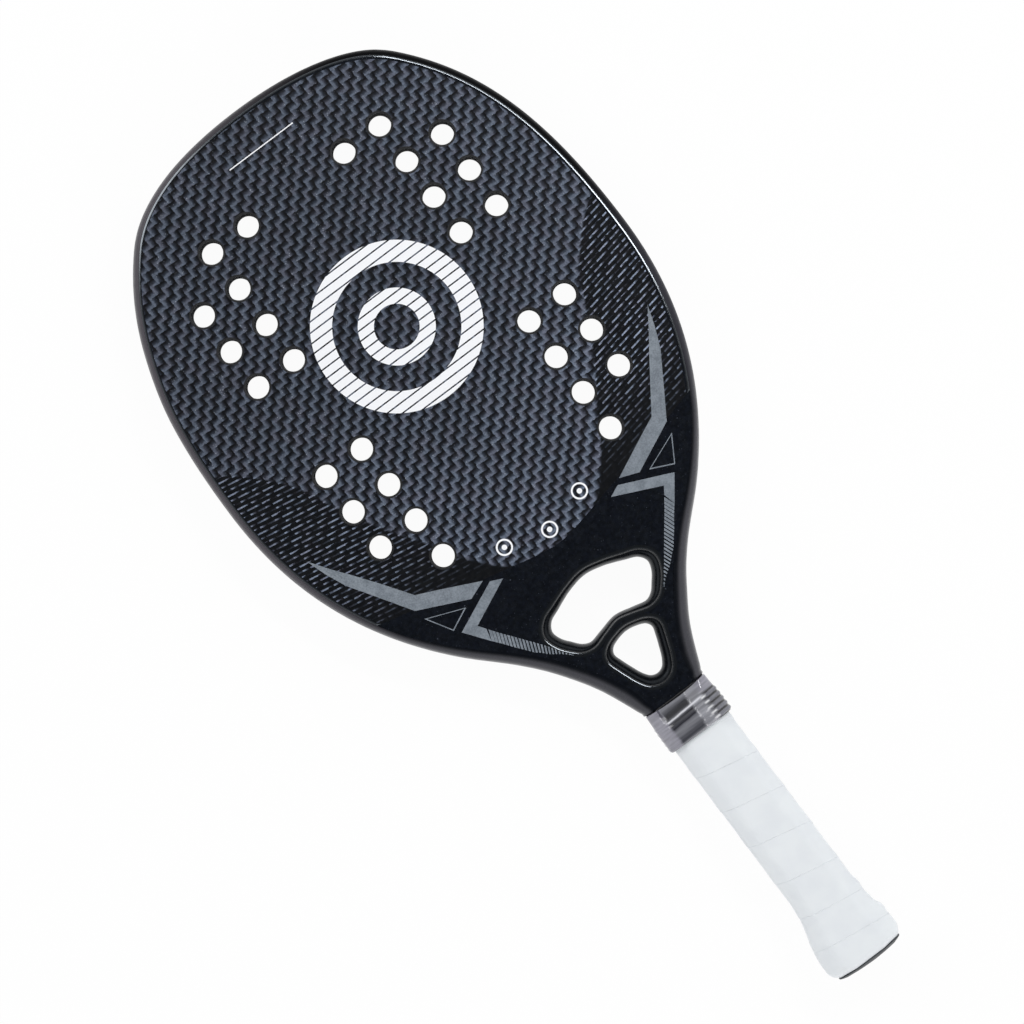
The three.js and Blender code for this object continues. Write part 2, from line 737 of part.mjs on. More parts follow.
// The plug in the cap: a flange that closes the end, and a hollow spigot inside the cap
function buttPlug() {
  const rim = GRIP_WIDTH / 2 + FLARE_WIDTH - endRounding(PLUG_FLANGE) - PLUG_EDGE;
  const rimDepth = GRIP_DEPTH / 2 + FLARE_DEPTH - endRounding(PLUG_FLANGE) - PLUG_EDGE;
  const bevel = GRIP_BEVEL + (FLARE_WIDTH + FLARE_DEPTH) / 4;
  const flange = [[3, 0], [1, PLUG_EDGE], [0, PLUG_FLANGE]].map(([inset, along]) => (
    octagonRing(rim - inset * PLUG_EDGE, rimDepth - inset * PLUG_EDGE, bevel, along)
  ));
  const top = PLUG_FLANGE + PLUG_SPIGOT;
  const spigot = [PLUG_FLANGE, top].map((along) => gripRing(palletOutside, along, false));
  const hollow = [top, PLUG_FLANGE + PLUG_WALL].map((along) => (
    gripRing(palletOutside + PLUG_WALL, along, false)
  ));
  return skinRings([...flange, ...spigot, ...hollow], false);
}

// The tape that holds down the top end of the overgrip
function finishingTape() {
  const low = wrapTopY - TAPE_WIDTH;
  const outside = [low, wrapTopY].map((along) => gripRing(-CLEARANCE - TAPE_THICKNESS, along, false));
  const inside = [wrapTopY, low].map((along) => gripRing(-CLEARANCE, along, false));
  return skinRings([...outside, ...inside], true);
}

// The collar's ring at a height along the racket, swollen by the height of a rib or by nothing. It
// goes from the neck's flatter section at its top edge to the grip's section above the overgrip.
function collarRing(along, swell) {
  const open = 1 - THREE.MathUtils.smoothstep(along, wrapTopY, collarTopY);
  const taped = CLEARANCE + TAPE_THICKNESS + CLEARANCE + COLLAR_WALL;
  const topHalfDepth = coreHalf + CLEARANCE + COLLAR_WALL;
  return octagonRing(
    THREE.MathUtils.lerp(COLLAR_LIP_WIDTH / 2, GRIP_WIDTH / 2 + taped, open) + swell,
    THREE.MathUtils.lerp(topHalfDepth, GRIP_DEPTH / 2 + taped, open) + swell,
    THREE.MathUtils.lerp(COLLAR_BEVEL_TOP, GRIP_BEVEL, open),
    along,
  );
}

// The rubber collar: smooth above, ribbed below, its lower edge drawn in on the overgrip
function gripCollar() {
  const firstRib = collarBottomY + COLLAR_RIB_PITCH / 2;
  const ribs = [];
  for (let rib = 0; rib < COLLAR_RIB_COUNT; rib += 1) {
    const crest = firstRib + rib * COLLAR_RIB_PITCH;
    ribs.push(collarRing(crest, COLLAR_RIB_HEIGHT), collarRing(crest + COLLAR_RIB_PITCH / 2, 0));
  }
  const aboveRibs = (firstRib + COLLAR_RIB_COUNT * COLLAR_RIB_PITCH + collarTopY) / 2;
  const outside = [
    collarRing(collarBottomY, -TAPE_THICKNESS - CLEARANCE / 2),
    ...ribs,
    collarRing(aboveRibs, 0),
    collarRing(collarTopY, 0),
  ];
  const insideLevels = [collarTopY, aboveRibs, wrapTopY, wrapTopY - TAPE_WIDTH - CLEARANCE];
  const inside = insideLevels.map((along) => collarRing(along, -COLLAR_WALL));
  const seat = collarRing(collarBottomY, -COLLAR_WALL - TAPE_THICKNESS - CLEARANCE / 2);
  return skinRings([...outside, ...inside, seat], true);
}

// Assembly
const racket = new THREE.Group();
racket.position.set(0, -LENGTH / 2, GRIP_DEPTH / 2 + FLARE_DEPTH);

function addPiece(name, geometry, finish) {
  geometry.computeVertexNormals();
  const mesh = new THREE.Mesh(geometry, new THREE.MeshStandardMaterial(finish));
  mesh.name = name;
  racket.add(mesh);
}

addPiece('frame_tube', frameTube(), tubeBlack);
addPiece('throat_yoke', throatYoke(), tubeBlack);
addPiece('foam_core', headLayer(insideTube, -coreHalf, coreHalf), foam);
addPiece('front_face', headLayer(underRounding, coreHalf, halfThickness), weave);
addPiece('back_face', headLayer(underRounding, -halfThickness, -coreHalf), weave);
addPiece('front_throat_skin', throatSkin(coreHalf, halfThickness), satinBlack);
addPiece('back_throat_skin', throatSkin(-halfThickness, -coreHalf), satinBlack);
addPiece('handle_spacer', handleSpacer(), foam);
addPiece('front_pallet', handlePallet(1), palletFoam);
addPiece('back_pallet', handlePallet(-1), palletFoam);
addPiece('underwrap', underwrap(), cushion);
addPiece('overgrip', overgrip(), whiteWrap);
addPiece('finishing_tape', finishingTape(), blackTape);
addPiece('grip_collar', gripCollar(), smokedRubber);
addPiece('butt_cap', buttCap(), slatePlastic);
addPiece('butt_plug', buttPlug(), slatePlastic);

const group = new THREE.Group();
group.add(racket);
export default group;
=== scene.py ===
"""Beach tennis racket, dressed for rendering.

Every new piece is worked out in the racket's own plane, in millimetres: x across the face, y along from the
butt end to the tip of the head, z above the plane halfway through the head. Skin.piece() then puts it into
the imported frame, in metres.
"""
import sys

import logging
import math
from dataclasses import dataclass, field, replace
from enum import Enum
from functools import cache

import bmesh
import bpy
import numpy as np
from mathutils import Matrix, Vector
from mathutils.geometry import delaunay_2d_cdt


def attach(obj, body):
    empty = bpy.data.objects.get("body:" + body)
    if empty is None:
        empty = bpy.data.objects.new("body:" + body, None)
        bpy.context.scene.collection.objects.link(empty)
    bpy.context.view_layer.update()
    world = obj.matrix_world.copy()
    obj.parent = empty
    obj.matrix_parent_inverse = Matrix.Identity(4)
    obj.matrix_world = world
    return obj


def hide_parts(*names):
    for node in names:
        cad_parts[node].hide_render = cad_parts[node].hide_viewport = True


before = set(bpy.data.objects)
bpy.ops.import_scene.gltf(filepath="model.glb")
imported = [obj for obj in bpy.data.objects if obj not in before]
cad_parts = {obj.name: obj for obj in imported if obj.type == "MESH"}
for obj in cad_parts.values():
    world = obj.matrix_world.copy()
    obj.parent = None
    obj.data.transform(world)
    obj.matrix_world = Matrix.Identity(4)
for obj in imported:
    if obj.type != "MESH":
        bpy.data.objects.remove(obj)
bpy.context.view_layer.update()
LOG = logging.getLogger("racket")

Array = np.ndarray
Material = bpy.types.Material
Rgb = tuple[int, int, int]
Rows = tuple[tuple[float, ...], ...]
Sizes = tuple[Array | float, Array | float, Array | float]

BODY = "root"
RACKET_IN_ROW = np.array([0.0, -250.0, 17.8])
METRE = 0.001


class Side(Enum):
    """The two striking sides of the racket."""

    FRONT = 1
    BACK = -1


class Slot(Enum):
    """The record's material slots."""

    WEAVE = "woven_carbon"
    SATIN = "satin_black"
    FRAME = "frame_black"
    CORE = "core_foam"
    PALLET = "handle_foam"
    CUSHION = "underwrap"
    WRAP = "overgrip"
    TAPE = "finishing_tape"
    COLLAR = "collar_rubber"
    PLASTIC = "butt_plastic"


# Finishes


def paint(red: int, green: int, blue: int) -> tuple[float, float, float, float]:
    """A colour of 0 to 255 as it shows on a screen, in linear light."""
    shares = np.array([red, green, blue]) / 255.0
    linear = np.where(shares <= 0.04045, shares / 12.92, ((shares + 0.055) / 1.055) ** 2.4)
    return (*linear.tolist(), 1.0)


class Value:
    """A number, vector, colour or shader that runs through a node tree. Sums on it add nodes."""

    def __init__(self, tree: "Tree", socket: bpy.types.NodeSocket) -> None:
        """Keeps the tree, and the socket that the value comes out of."""
        self.tree = tree
        self.socket = socket

    def math(self, operation: str, *others: object) -> "Value":
        """One sum on this number and others."""
        return self.tree.node("Math", dict(enumerate([self, *others])), operation=operation)

    def __add__(self, other: object) -> "Value":
        """This plus another."""
        return self.math("ADD", other)

    def __sub__(self, other: object) -> "Value":
        """This less another."""
        return self.math("SUBTRACT", other)

    def __rsub__(self, other: float) -> "Value":
        """A plain number less this."""
        return self.tree.node("Math", {0: other, 1: self}, operation="SUBTRACT")

    def __mul__(self, other: object) -> "Value":
        """This times another."""
        return self.math("MULTIPLY", other)

    def __truediv__(self, other: object) -> "Value":
        """This over another."""
        return self.math("DIVIDE", other)

    def __mod__(self, other: float) -> "Value":
        """What is left of this over whole steps of another."""
        return self.math("FLOORED_MODULO", other)

    def __abs__(self) -> "Value":
        """This without its sign."""
        return self.math("ABSOLUTE")

    def hypot(self, other: "Value") -> "Value":
        """Root of this squared plus another squared."""
        return (self * self + other * other).math("SQRT")

    def band(self, middle: float, width: float) -> "Value":
        """1 where this lies within half a width of a middle, else 0."""
        return self.math("COMPARE", middle, width / 2)

    def step(self, low: float, high: float, first: float = 0.0, last: float = 1.0) -> "Value":
        """Smooth rise from first at low to last at high."""
        inputs = {"Value": self, "From Min": low, "From Max": high, "To Min": first, "To Max": last}
        return self.tree.node("MapRange", inputs, "Result", interpolation_type="SMOOTHSTEP", clamp=True)

    def parts(self) -> list["Value"]:
        """A vector's three parts."""
        outputs = self.tree.node("SeparateXYZ", {0: self}).socket.node.outputs
        return [Value(self.tree, output) for output in outputs]

    def ramp(self, stops: list[tuple[float, Rgb]]) -> "Value":
        """A colour read off between stops."""
        made = self.tree.node("ValToRGB", {0: self}, "Color")
        elements = made.socket.node.color_ramp.elements
        while len(elements) < len(stops):
            elements.new(0.5)
        for element, (place, colour) in zip(elements, stops):
            element.position, element.color = place, paint(*colour)
        return made

    def curve(self, points: Rows) -> "Value":
        """A number read off a smooth curve through points from 0 to 1."""
        made = self.tree.node("FloatCurve", {"Value": self})
        mapping = made.socket.node.mapping
        knots = mapping.curves[0].points
        while len(knots) < len(points):
            knots.new(0.5, 0.5)
        for knot, point in zip(knots, points):
            knot.location = point
        mapping.update()
        return made

    def mix(self, first: object, second: object) -> "Value":
        """The colour at this share of the way from first to second."""
        return self.tree.node("Mix", {0: self, 6: first, 7: second}, 2, data_type="RGBA")

    def bump(self, depth_mm: float, strength: float, over: "Value | None" = None) -> "Value":
        """Normals bent by this height field of the given depth, on top of others if there are any."""
        inputs = {"Strength": strength, "Distance": depth_mm * METRE, "Height": self}
        return self.tree.node("Bump", inputs | ({"Normal": over} if over else {}))


class Tree:
    """A node tree, put together by short calls."""

    def __init__(self, owner: Material | bpy.types.World) -> None:
        """Switches the nodes of a material or a world on."""
        owner.use_nodes = True
        self.owner = owner
        self.nodes = owner.node_tree.nodes
        self.links = owner.node_tree.links

    def node(self, kind: str, inputs: dict[str | int, object] | None = None, output: str | int = 0,
             **options: object) -> Value:
        """Adds a node.

        Args:
            kind: Its type, without the word ShaderNode.
            inputs: What goes into its sockets.
            output: Socket that is handed on.
            **options: Its settings, made before the sockets are fed.

        Returns:
            The value of that output.
        """
        made = self.nodes.new(f"ShaderNode{kind}")
        for option, setting in options.items():
            setattr(made, option, setting)
        for socket, value in (inputs or {}).items():
            self.feed(made.inputs[socket], value)
        return Value(self, made.outputs[output])

    def feed(self, socket: bpy.types.NodeSocket, value: object) -> None:
        """Links a socket to a value or sets it. Three numbers for a colour are screen levels of 0 to 255."""
        if isinstance(value, Value):
            self.links.new(value.socket, socket)
        elif socket.type == "RGBA" and len(value) == 3:
            socket.default_value = paint(*value)
        else:
            socket.default_value = value

    def end(self, kind: str, shader: Value) -> None:
        """Adds the tree's output node and feeds a shader to it."""
        self.links.new(shader.socket, self.nodes.new(f"ShaderNodeOutput{kind}").inputs[0])


class Graph(Tree):
    """A finish in the making, with the surface point in the racket's own millimetres."""

    def __init__(self, name: str, **sizes: object) -> None:
        """Makes the material.

        Args:
            name: Name of the finish.
            **sizes: Values of the shader's own sockets, with _ for a blank.
        """
        super().__init__(bpy.data.materials.new(name))
        self.shader = self.nodes["Principled BSDF"]
        self.set(**sizes)
        place = self.node("TexCoord", output="Object")
        inputs = {0: place, 1: (1000, 1000, 1000), 2: tuple((-RACKET_IN_ROW).tolist())}
        self.place = self.node("VectorMath", inputs, operation="MULTIPLY_ADD")
        self.x, self.y, self.z = self.place.parts()

    def set(self, **sockets: object) -> None:
        """Feeds the shader's own sockets, with _ for a blank."""
        for name, value in sockets.items():
            self.feed(self.shader.inputs[name.replace("_", " ")], value)

    def noise(self, scale: float, detail: float = 2.0, roughness: float = 0.5,
              place: Value | None = None) -> Value:
        """Smooth noise from 0 to 1, with scale in waves a millimetre."""
        inputs = {"Vector": place or self.place, "Scale": scale, "Detail": detail, "Roughness": roughness}
        return self.node("TexNoise", inputs, "Fac")

    def cells(self, scale: float) -> Value:
        """Distance to the nearest of scattered points, with scale in points a millimetre."""
        return self.node("TexVoronoi", {"Vector": self.place, "Scale": scale}, "Distance")

    def tint(self, colour: object, lightness: Value) -> Value:
        """A colour made lighter or darker."""
        return self.node("HueSaturation", {"Color": colour, "Value": lightness})

    def finish(self, colour: Value, roughness: object, normal: Value) -> Material:
        """Feeds the shader and hands the material over."""
        self.set(Base_Color=colour, Roughness=roughness, Normal=normal)
        return self.owner


@dataclass(frozen=True)
class Weave:
    """Pressed carbon cloth under a clear coat, with the paint that is laid over it.

    The cloth is a checkerboard of floats, with light and shade painted into its colour. One that runs along
    the racket is painted lit from its left side, one that runs across from its lower side, so the painted
    lit edges join into stairs. Towards the throat a black screen of slanted lines lies over it, and fades
    into plain black.
    """

    across_mm: float = 3.79
    along_mm: float = 3.856
    start_mm: tuple[float, float] = (5.84, 0.10)
    light: Rgb = (84, 92, 106)
    middle: Rgb = (47, 53, 64)
    dark: Rgb = (5, 6, 10)
    warm: tuple[Rgb, Rgb] = ((11, 9, 13), (82, 79, 91))
    # Colour of the painted sparkle glints.
    painted_sparkle_colour: Rgb = (186, 193, 204)
    black: Rgb = (6, 8, 12)
    speckle: Rgb = (86, 90, 104)
    white: tuple[Rgb, Rgb] = ((246, 247, 250), (214, 218, 226))
    # Painted light and shade across one float, from its painted lit edge to its painted shaded side.
    lit_across: Rows = ((0, 0.5), (0.04, 0.86), (0.1, 1), (0.28, 0.85), (0.42, 0.55), (0.56, 0.28),
                        (0.72, 0.1), (0.9, 0.0), (1, 0.08))
    zone_start_mm: float = 240.0
    zone_size_mm: tuple[float, float] = (140.0, 120.0)
    zone_edge: Rows = ((0, 0.1), (0.055, 0.17), (0.09, 0.233), (0.145, 0.292), (0.21, 0.35), (0.31, 0.42),
                       (0.36, 0.46), (0.465, 0.54), (0.56, 0.6), (0.61, 0.63), (0.715, 0.69), (0.8, 0.77),
                       (0.88, 0.87), (0.94, 0.97), (1, 1))
    screen_pitch_mm: float = 2.51
    screen_slope_share: float = 0.187
    ring_centre_mm: float = 372.0
    hatch_mm: float = 4.3
    discs_mm: Rows = ((-22.0, 259.0), (0.0, 253.0), (22.0, 259.0))

    def cloth(self, x: Value, y: Value) -> Value:
        """How brightly each point of the cloth is painted as lit, from 0 to 1: painted light and shade."""
        u = (x - self.start_mm[0]) / self.across_mm
        v = (y - self.start_mm[1]) / self.along_mm
        odd = (u.math("FLOOR") - v.math("FLOOR")) % 2.0
        return (u.math("FRACT") * (1.0 - odd) + v.math("FRACT") * odd).curve(self.lit_across)

    def zone(self, x: Value, y: Value) -> tuple[Value, Value]:
        """Where the painted zone lies, and how much of the cloth its screen lets through."""
        high, wide = self.zone_size_mm
        border = ((y - self.zone_start_mm) / high).curve(self.zone_edge)
        painted = (abs(x) - border * wide).step(-1.2, 1.2)
        slant = y - abs(x) * self.screen_slope_share
        gap = (slant / self.screen_pitch_mm).math("PINGPONG", 0.5).step(0.3, 0.4)
        return painted, gap * y.step(252.0, 304.0)

    def marks(self, x: Value, y: Value) -> Value:
        """The white print: two hatched rings, three small discs under them and a thin rule above."""
        up = y - self.ring_centre_mm
        far = x.hypot(up)
        hatch = (up / self.hatch_mm).math("FRACT").math("GREATER_THAN", 0.16)
        marks = (far.band(35.5, 10.4) + far.band(14.5, 7.6)) * hatch
        marks = marks + x.band(0.0, 37.0) * y.band(477.6, 0.55)
        for across, along in self.discs_mm:
            away = (x - across).hypot(y - along)
            marks = marks + away.band(3.6, 0.9) + away.band(0.0, 2.6)
        return marks.math("MINIMUM", 1.0)

    def material(self, name: str) -> Material:
        """Cloth with painted light and shade, painted screen, white print, painted sparkle glints and relief
        in one material.
        """
        graph = Graph(name, Specular_IOR_Level=0.26)
        x, y, noise = graph.x, graph.y, graph.noise
        sway = (noise(0.09) - 0.5) * 0.8 + (noise(0.75) - 0.5) * 1.3
        lit = self.cloth(x + sway, y - sway)
        painted, let_through = self.zone(x, y)
        # Random patches of tone with painted light: the cloth is painted lighter towards the throat and
        # towards the right, and lighter within the painted zone.
        patches_and_painted_light = noise(0.045).step(0.3, 0.7, 0.92, 1.08) * y.step(260.0, 400.0, 1.42, 1.0)
        patches_and_painted_light = patches_and_painted_light * x.step(0.0, 105.0, 1.0, 1.28) * (painted * 0.8 + 1.0)
        # The cloth's dark, middle and light colours follow the painted light and shade of its floats.
        cloth = lit.ramp([(0, self.dark), (0.5, self.middle), (1, self.light)])
        cloth = noise(0.21, 1).step(0.42, 0.66, 0.0, 0.35).mix(cloth, lit.mix(*self.warm))
        cloth = graph.tint(cloth, noise(1.15, 3, 0.7).step(0.28, 0.74, 0.7, 1.32) * patches_and_painted_light)
        # Painted glints: scattered bright sparkles, brighter on the painted lit parts of the floats.
        painted_sparkle = graph.cells(0.8).step(0.0, 0.3, 1.0, 0.0) * noise(0.33, 1).step(0.45, 0.63)
        cloth = (painted_sparkle * (lit * 0.7 + 0.12) * 0.75).mix(cloth, self.painted_sparkle_colour)
        seen = 1.0 - painted + painted * let_through
        speck = graph.cells(0.8).step(0.0, 0.2, 0.3, 0.0) * noise(0.6, 1).step(0.5, 0.62)
        colour = seen.mix(speck.mix(self.black, self.speckle), cloth)
        white = noise(2.2).step(0.35, 0.7, 0.0, 0.12).mix(*self.white)
        colour = self.marks(x, y).mix(colour, white)
        relief = (lit * (seen * 0.75 + 0.25)).bump(0.035, 0.7)
        roughness = noise(0.5).step(0.3, 0.7, 0.32, 0.42)
        return graph.finish(colour, roughness, noise(2.4).bump(0.008, 0.6, relief))


@dataclass(frozen=True)
class Lacquer:
    """Satin black lacquer with a fine silver fleck."""

    base: Rgb = (9, 12, 19)
    fleck: Rgb = (92, 97, 110)
    fleck_share: float = 0.6
    roughness: float = 0.24
    specular: float = 0.42
    index: float = 1.5
    peel_mm: float = 0.02
    gleam: tuple[float, float, float, float] = (0.84, 0.92, 1.0, 1.0)

    def material(self, name: str) -> Material:
        """Lacquer with scattered flecks and a slight orange peel."""
        graph = Graph(name, Specular_IOR_Level=self.specular, IOR=self.index, Specular_Tint=self.gleam)
        noise, cells = graph.noise, graph.cells
        flecks = cells(0.85).step(0.0, 0.2, self.fleck_share, 0.0) * noise(0.55, 1).step(0.48, 0.62)
        sparks = cells(0.16).step(0.0, 0.075, self.fleck_share, 0.0)
        cloud = graph.tint(self.base, noise(0.6, 3).step(0.3, 0.7, 0.6, 1.4))
        colour = flecks.math("MAXIMUM", sparks).mix(cloud, self.fleck)
        rough = noise(0.4, 3).step(0.3, 0.7, self.roughness * 0.8, self.roughness * 1.25)
        return graph.finish(colour, rough, noise(0.9).bump(self.peel_mm, 0.35))


@dataclass(frozen=True)
class Edge:
    """Lacquer of the frame's round side: satin round the head, black at the throat, with painted reflection:
    greyer on the head's left and low on its right, and grey on the throat's rounded sides.
    """

    # Painted reflection: left, low and leg are greys that stand for soft light reflected by the round side;
    # right and throat are the lacquer's black.
    left: Rgb = (74, 71, 77)
    right: Rgb = (10, 10, 12)
    low: Rgb = (52, 52, 58)
    throat: Rgb = (9, 12, 18)
    leg: Rgb = (60, 60, 66)
    scuffed: Rgb = (92, 94, 100)

    def material(self, name: str) -> Material:
        """Two lacquers that run into each other up the frame, each with painted reflection in its colour,
        with small scuffs on the crown of the edge.
        """
        graph = Graph(name)
        x, y, height = graph.x, graph.y, abs(graph.z)
        # Painted reflection round the head: grey on the left, grey lower down on the right, near black on the
        # upper right.
        head = x.step(-60.0, 60.0).mix(self.left, y.step(310.0, 385.0).mix(self.low, self.right))
        # Painted reflection at the throat: grey on the round side below the flats' height, black above it.
        leg = height.step(9.9, 10.96, 1.0, 0.0).mix(self.throat, self.leg)
        run = y.step(235.0, 320.0).mix(leg, head)
        scuff = height.step(2.0, 7.0, 1.0, 0.0) * graph.noise(0.35, 5, 0.75).step(0.6, 0.74)
        colour = (scuff * 0.25).mix(run, self.scuffed)
        up = y.step(225.0, 300.0)
        graph.set(Specular_IOR_Level=x.step(-50.0, 50.0, 0.24, 0.03) * up + (1.0 - up) * 0.24)
        rough = graph.noise(0.3, 3).step(0.3, 0.7, -0.04, 0.06) + y.step(225.0, 300.0, 0.24, 0.36)
        return graph.finish(colour, rough, graph.noise(0.7, 3).bump(0.02, 0.3))


@dataclass(frozen=True)
class Grained:
    """A plain material with a grain in its colour, its gloss and its relief."""

    low: Rgb
    high: Rgb
    grain_per_mm: float
    depth_mm: float
    roughness: tuple[float, float]

    def material(self, name: str) -> Material:
        """Colour, roughness and height all follow noise of one scale."""
        graph = Graph(name)
        grain = graph.noise(self.grain_per_mm, 3, 0.6)
        share = grain * 0.6 + graph.noise(self.grain_per_mm * 0.12) * 0.4
        colour = share.step(0.35, 0.65).mix(self.low, self.high)
        return graph.finish(colour, grain.step(0.3, 0.7, *self.roughness), grain.bump(self.depth_mm, 0.6))


@dataclass(frozen=True)
class Foam:
    """Cut foam: round open cells with painted shade at their bottoms and paler walls between them."""

    wall: Rgb
    pore_shade: Rgb
    cells_per_mm: float = 1.6

    def material(self, name: str) -> Material:
        """Scattered points give the cells: painted shade at a point, pale between the points."""
        graph = Graph(name, Specular_IOR_Level=0.2)
        coarse = graph.cells(self.cells_per_mm * 0.35).step(0.02, 0.2)
        depth = graph.cells(self.cells_per_mm).step(0.05, 0.55) * coarse
        return graph.finish(depth.mix(self.pore_shade, self.wall), 0.92, depth.bump(0.12, 0.7))


@dataclass(frozen=True)
class WhiteWrap:
    """White synthetic grip band: a fine felted grain, pores, shallow dents and a soft painted shade at the
    seams.
    """

    base: Rgb = (231, 235, 238)
    shade: Rgb = (218, 222, 228)
    seam_shade: Rgb = (196, 200, 208)

    def material(self, name: str) -> Material:
        """Reads the band's own map: u runs along the band, v across it from its lower edge."""
        graph = Graph(name, Specular_IOR_Level=0.35, Sheen_Weight=0.12, Sheen_Roughness=0.5)
        across = graph.node("UVMap").parts()[1]
        cloud = graph.noise(0.08, 3).step(0.32, 0.68) * 0.35
        # Painted shade along the seams: the band's lower edge is painted darker.
        colour = (across.step(0.0, 0.03, 1.0, 0.0) * 0.3).mix(cloud.mix(self.base, self.shade), self.seam_shade)
        felt = graph.noise(2.6, 3, 0.65)
        normal = graph.cells(1.15).step(0.0, 0.16).bump(0.04, 0.25, felt.bump(0.05, 0.35))
        normal = graph.noise(0.11).bump(0.5, 0.3, normal)
        return graph.finish(colour, felt.step(0.3, 0.7, 0.5, 0.66), normal)


@dataclass(frozen=True)
class SmokedRubber:
    """See-through grey rubber of the collar, with fine moulding grain on its skin.

    It is painted pale at the sides, a painted reflection of soft light on its bevels where it is also thick
    along the line of sight, and dark over the racket's neck.
    """

    # Painted reflection: side and pale are pale greys that stand for soft light reflected on the bevels.
    side: Rgb = (158, 157, 168)
    # Painted shade in the ribs' grooves and painted light on their crests.
    ribs: tuple[Rgb, Rgb] = ((16, 17, 23), (122, 123, 132))
    pale: Rgb = (205, 206, 214)
    # Painted glints: on the ribs, and in a thin painted glint streak down the front.
    glint: Rgb = (250, 250, 252)
    painted_glint_streak: Rgb = (236, 236, 240)
    over_neck: Rgb = (12, 13, 17)
    dark_left_line: Rgb = (58, 58, 68)
    # Painted light and shade round the middle, by height, with a painted highlight line at 0.625.
    streaks: Rows = ((0.0, 128), (0.05, 112), (0.1, 70), (0.17, 92), (0.26, 128), (0.34, 142), (0.385, 118),
                     (0.43, 50), (0.49, 78), (0.545, 42), (0.59, 108), (0.625, 252), (0.66, 82), (0.7, 36),
                     (0.75, 34), (0.8, 56), (0.865, 112), (0.93, 150), (1.0, 142))
    foot_mm: float = 134.5
    length_mm: float = 20.8
    rib_mm: float = 2.8
    lip_mm: float = 155.3
    clear_share: float = 0.25

    def material(self, name: str) -> Material:
        """Grey by place: pale sides of painted reflection, ribs a shade darker with painted shade in their
        grooves and painted light on their crests, painted light and dark streaks round the middle with a
        painted highlight line, and painted glints.
        """
        graph = Graph(name, Transmission_Weight=self.clear_share, IOR=1.43, Specular_IOR_Level=0.9)
        x, y, noise = graph.x, graph.y, graph.noise
        sway = (noise(0.3, 3) - 0.5) * 2.4
        side = x + sway
        level = (y - x * 0.045 + sway * 0.2 - self.foot_mm) / self.length_mm
        # Painted light and shade: streaks round the middle, with a painted highlight line.
        middle = level.ramp([(share, (grey, grey + 1, grey + 8)) for share, grey in self.streaks])
        # Painted reflection beside the middle, to the right.
        middle = side.step(2.6, 4.6, 0.0, 0.42).mix(middle, self.pale)
        rib = ((y - self.foot_mm) / self.rib_mm).math("PINGPONG", 0.5)
        upper = y.step(148.3, 150.3)
        # Painted shade in the grooves and painted light on the crests of the ribs, with painted reflection
        # above them.
        ribbed = upper.mix(rib.step(0.04, 0.3).mix(*self.ribs), self.side)
        # Painted glints on the ribs' upper slopes near the right corner.
        shine = rib.step(0.26, 0.44) * abs(side - 10.2).step(0.6, 2.0, 1.0, 0.0) * (1.0 - upper)
        across = x / 17.0
        neck = y + (1.0 - across * across) * 1.3
        # Painted reflection on the left side.
        colour = side.step(-11.4, -9.6).mix(self.side, middle)
        for share, over in (
            (side.step(8.4, 12.0), ribbed),
            (shine * 0.8, self.glint),
            # Painted glint streak down the front.
            (side.band(4.1, 0.9) * noise(1.1).step(0.5, 0.58) * 0.6, self.painted_glint_streak),
            (neck.step(self.lip_mm, self.lip_mm + 0.3), self.over_neck),
            # A thin dark line down the left, near the top.
            (side.band(-11.2, 1.0) * y.step(147.0, 150.0) * 0.7, self.dark_left_line),
        ):
            colour = share.mix(colour, over)
        flat = graph.node("VectorMath", {0: graph.place, 1: (0.06, 0.9, 0.06)}, operation="MULTIPLY")
        colour = graph.tint(colour, noise(1.0, 3, place=flat).step(0.32, 0.68, 0.86, 1.14))
        return graph.finish(colour, noise(1.6).step(0.3, 0.7, 0.06, 0.12), noise(0.9, 3).bump(0.02, 0.4))


RECIPES = {
    "woven_carbon": Weave(),
    "silver_print": Grained((102, 110, 119), (132, 140, 149), 1.5, 0.01, (0.44, 0.54)),
    "satin_black": Lacquer(),
    "gloss_black": Lacquer((7, 9, 13), (70, 74, 84), 0.1, 0.14, 1.0, 1.72, 0.002),
    "rim_black": Lacquer((7, 9, 13), (70, 74, 84), 0.1, 0.1, 1.0, 1.58, 0.002),
    "hole_resin": Grained((5, 6, 9), (17, 18, 22), 1.8, 0.03, (0.42, 0.6)),
    "dish_lacquer": Lacquer((12, 14, 18), (50, 53, 60), 0.1, 0.26, 0.25),
    "frame_lacquer": Edge(),
    "core_foam": Foam((52, 55, 61), (16, 17, 20)),
    "painted_bore": Foam((38, 39, 43), (12, 12, 14), 1.2),
    "white_overgrip": WhiteWrap(),
    "smoked_rubber": SmokedRubber(),
    "slate_plastic": Grained((24, 30, 35), (36, 43, 49), 2.6, 0.02, (0.42, 0.56)),
    "cap_plastic": Grained((50, 54, 60), (66, 71, 78), 1.6, 0.02, (0.45, 0.6)),
    "cushion": Grained((24, 25, 28), (44, 45, 49), 1.4, 0.08, (0.8, 0.95)),
    "pallet_foam": Foam((196, 181, 148), (140, 125, 96), 1.2),
    "spacer_foam": Foam((58, 60, 66), (22, 23, 26), 1.4),
    "black_tape": Grained((14, 15, 18), (26, 27, 31), 0.9, 0.02, (0.3, 0.42)),
}
INNER_NODES = {"front_pallet": "pallet_foam", "back_pallet": "pallet_foam", "handle_spacer": "spacer_foam",
               "finishing_tape": "black_tape"}


@cache
def finish_of(name: str) -> Material:
    """The material of that name, made from its recipe the first time."""
    return RECIPES[name].material(name)


# Shapes


def smoothstep(value: Array | float, low: float, high: float) -> Array:
    """Rises from 0 at low to 1 at high along 3 t squared less 2 t cubed."""
    share = np.clip((np.asarray(value, float) - low) / (high - low), 0.0, 1.0)
    return share * share * (3.0 - 2.0 * share)


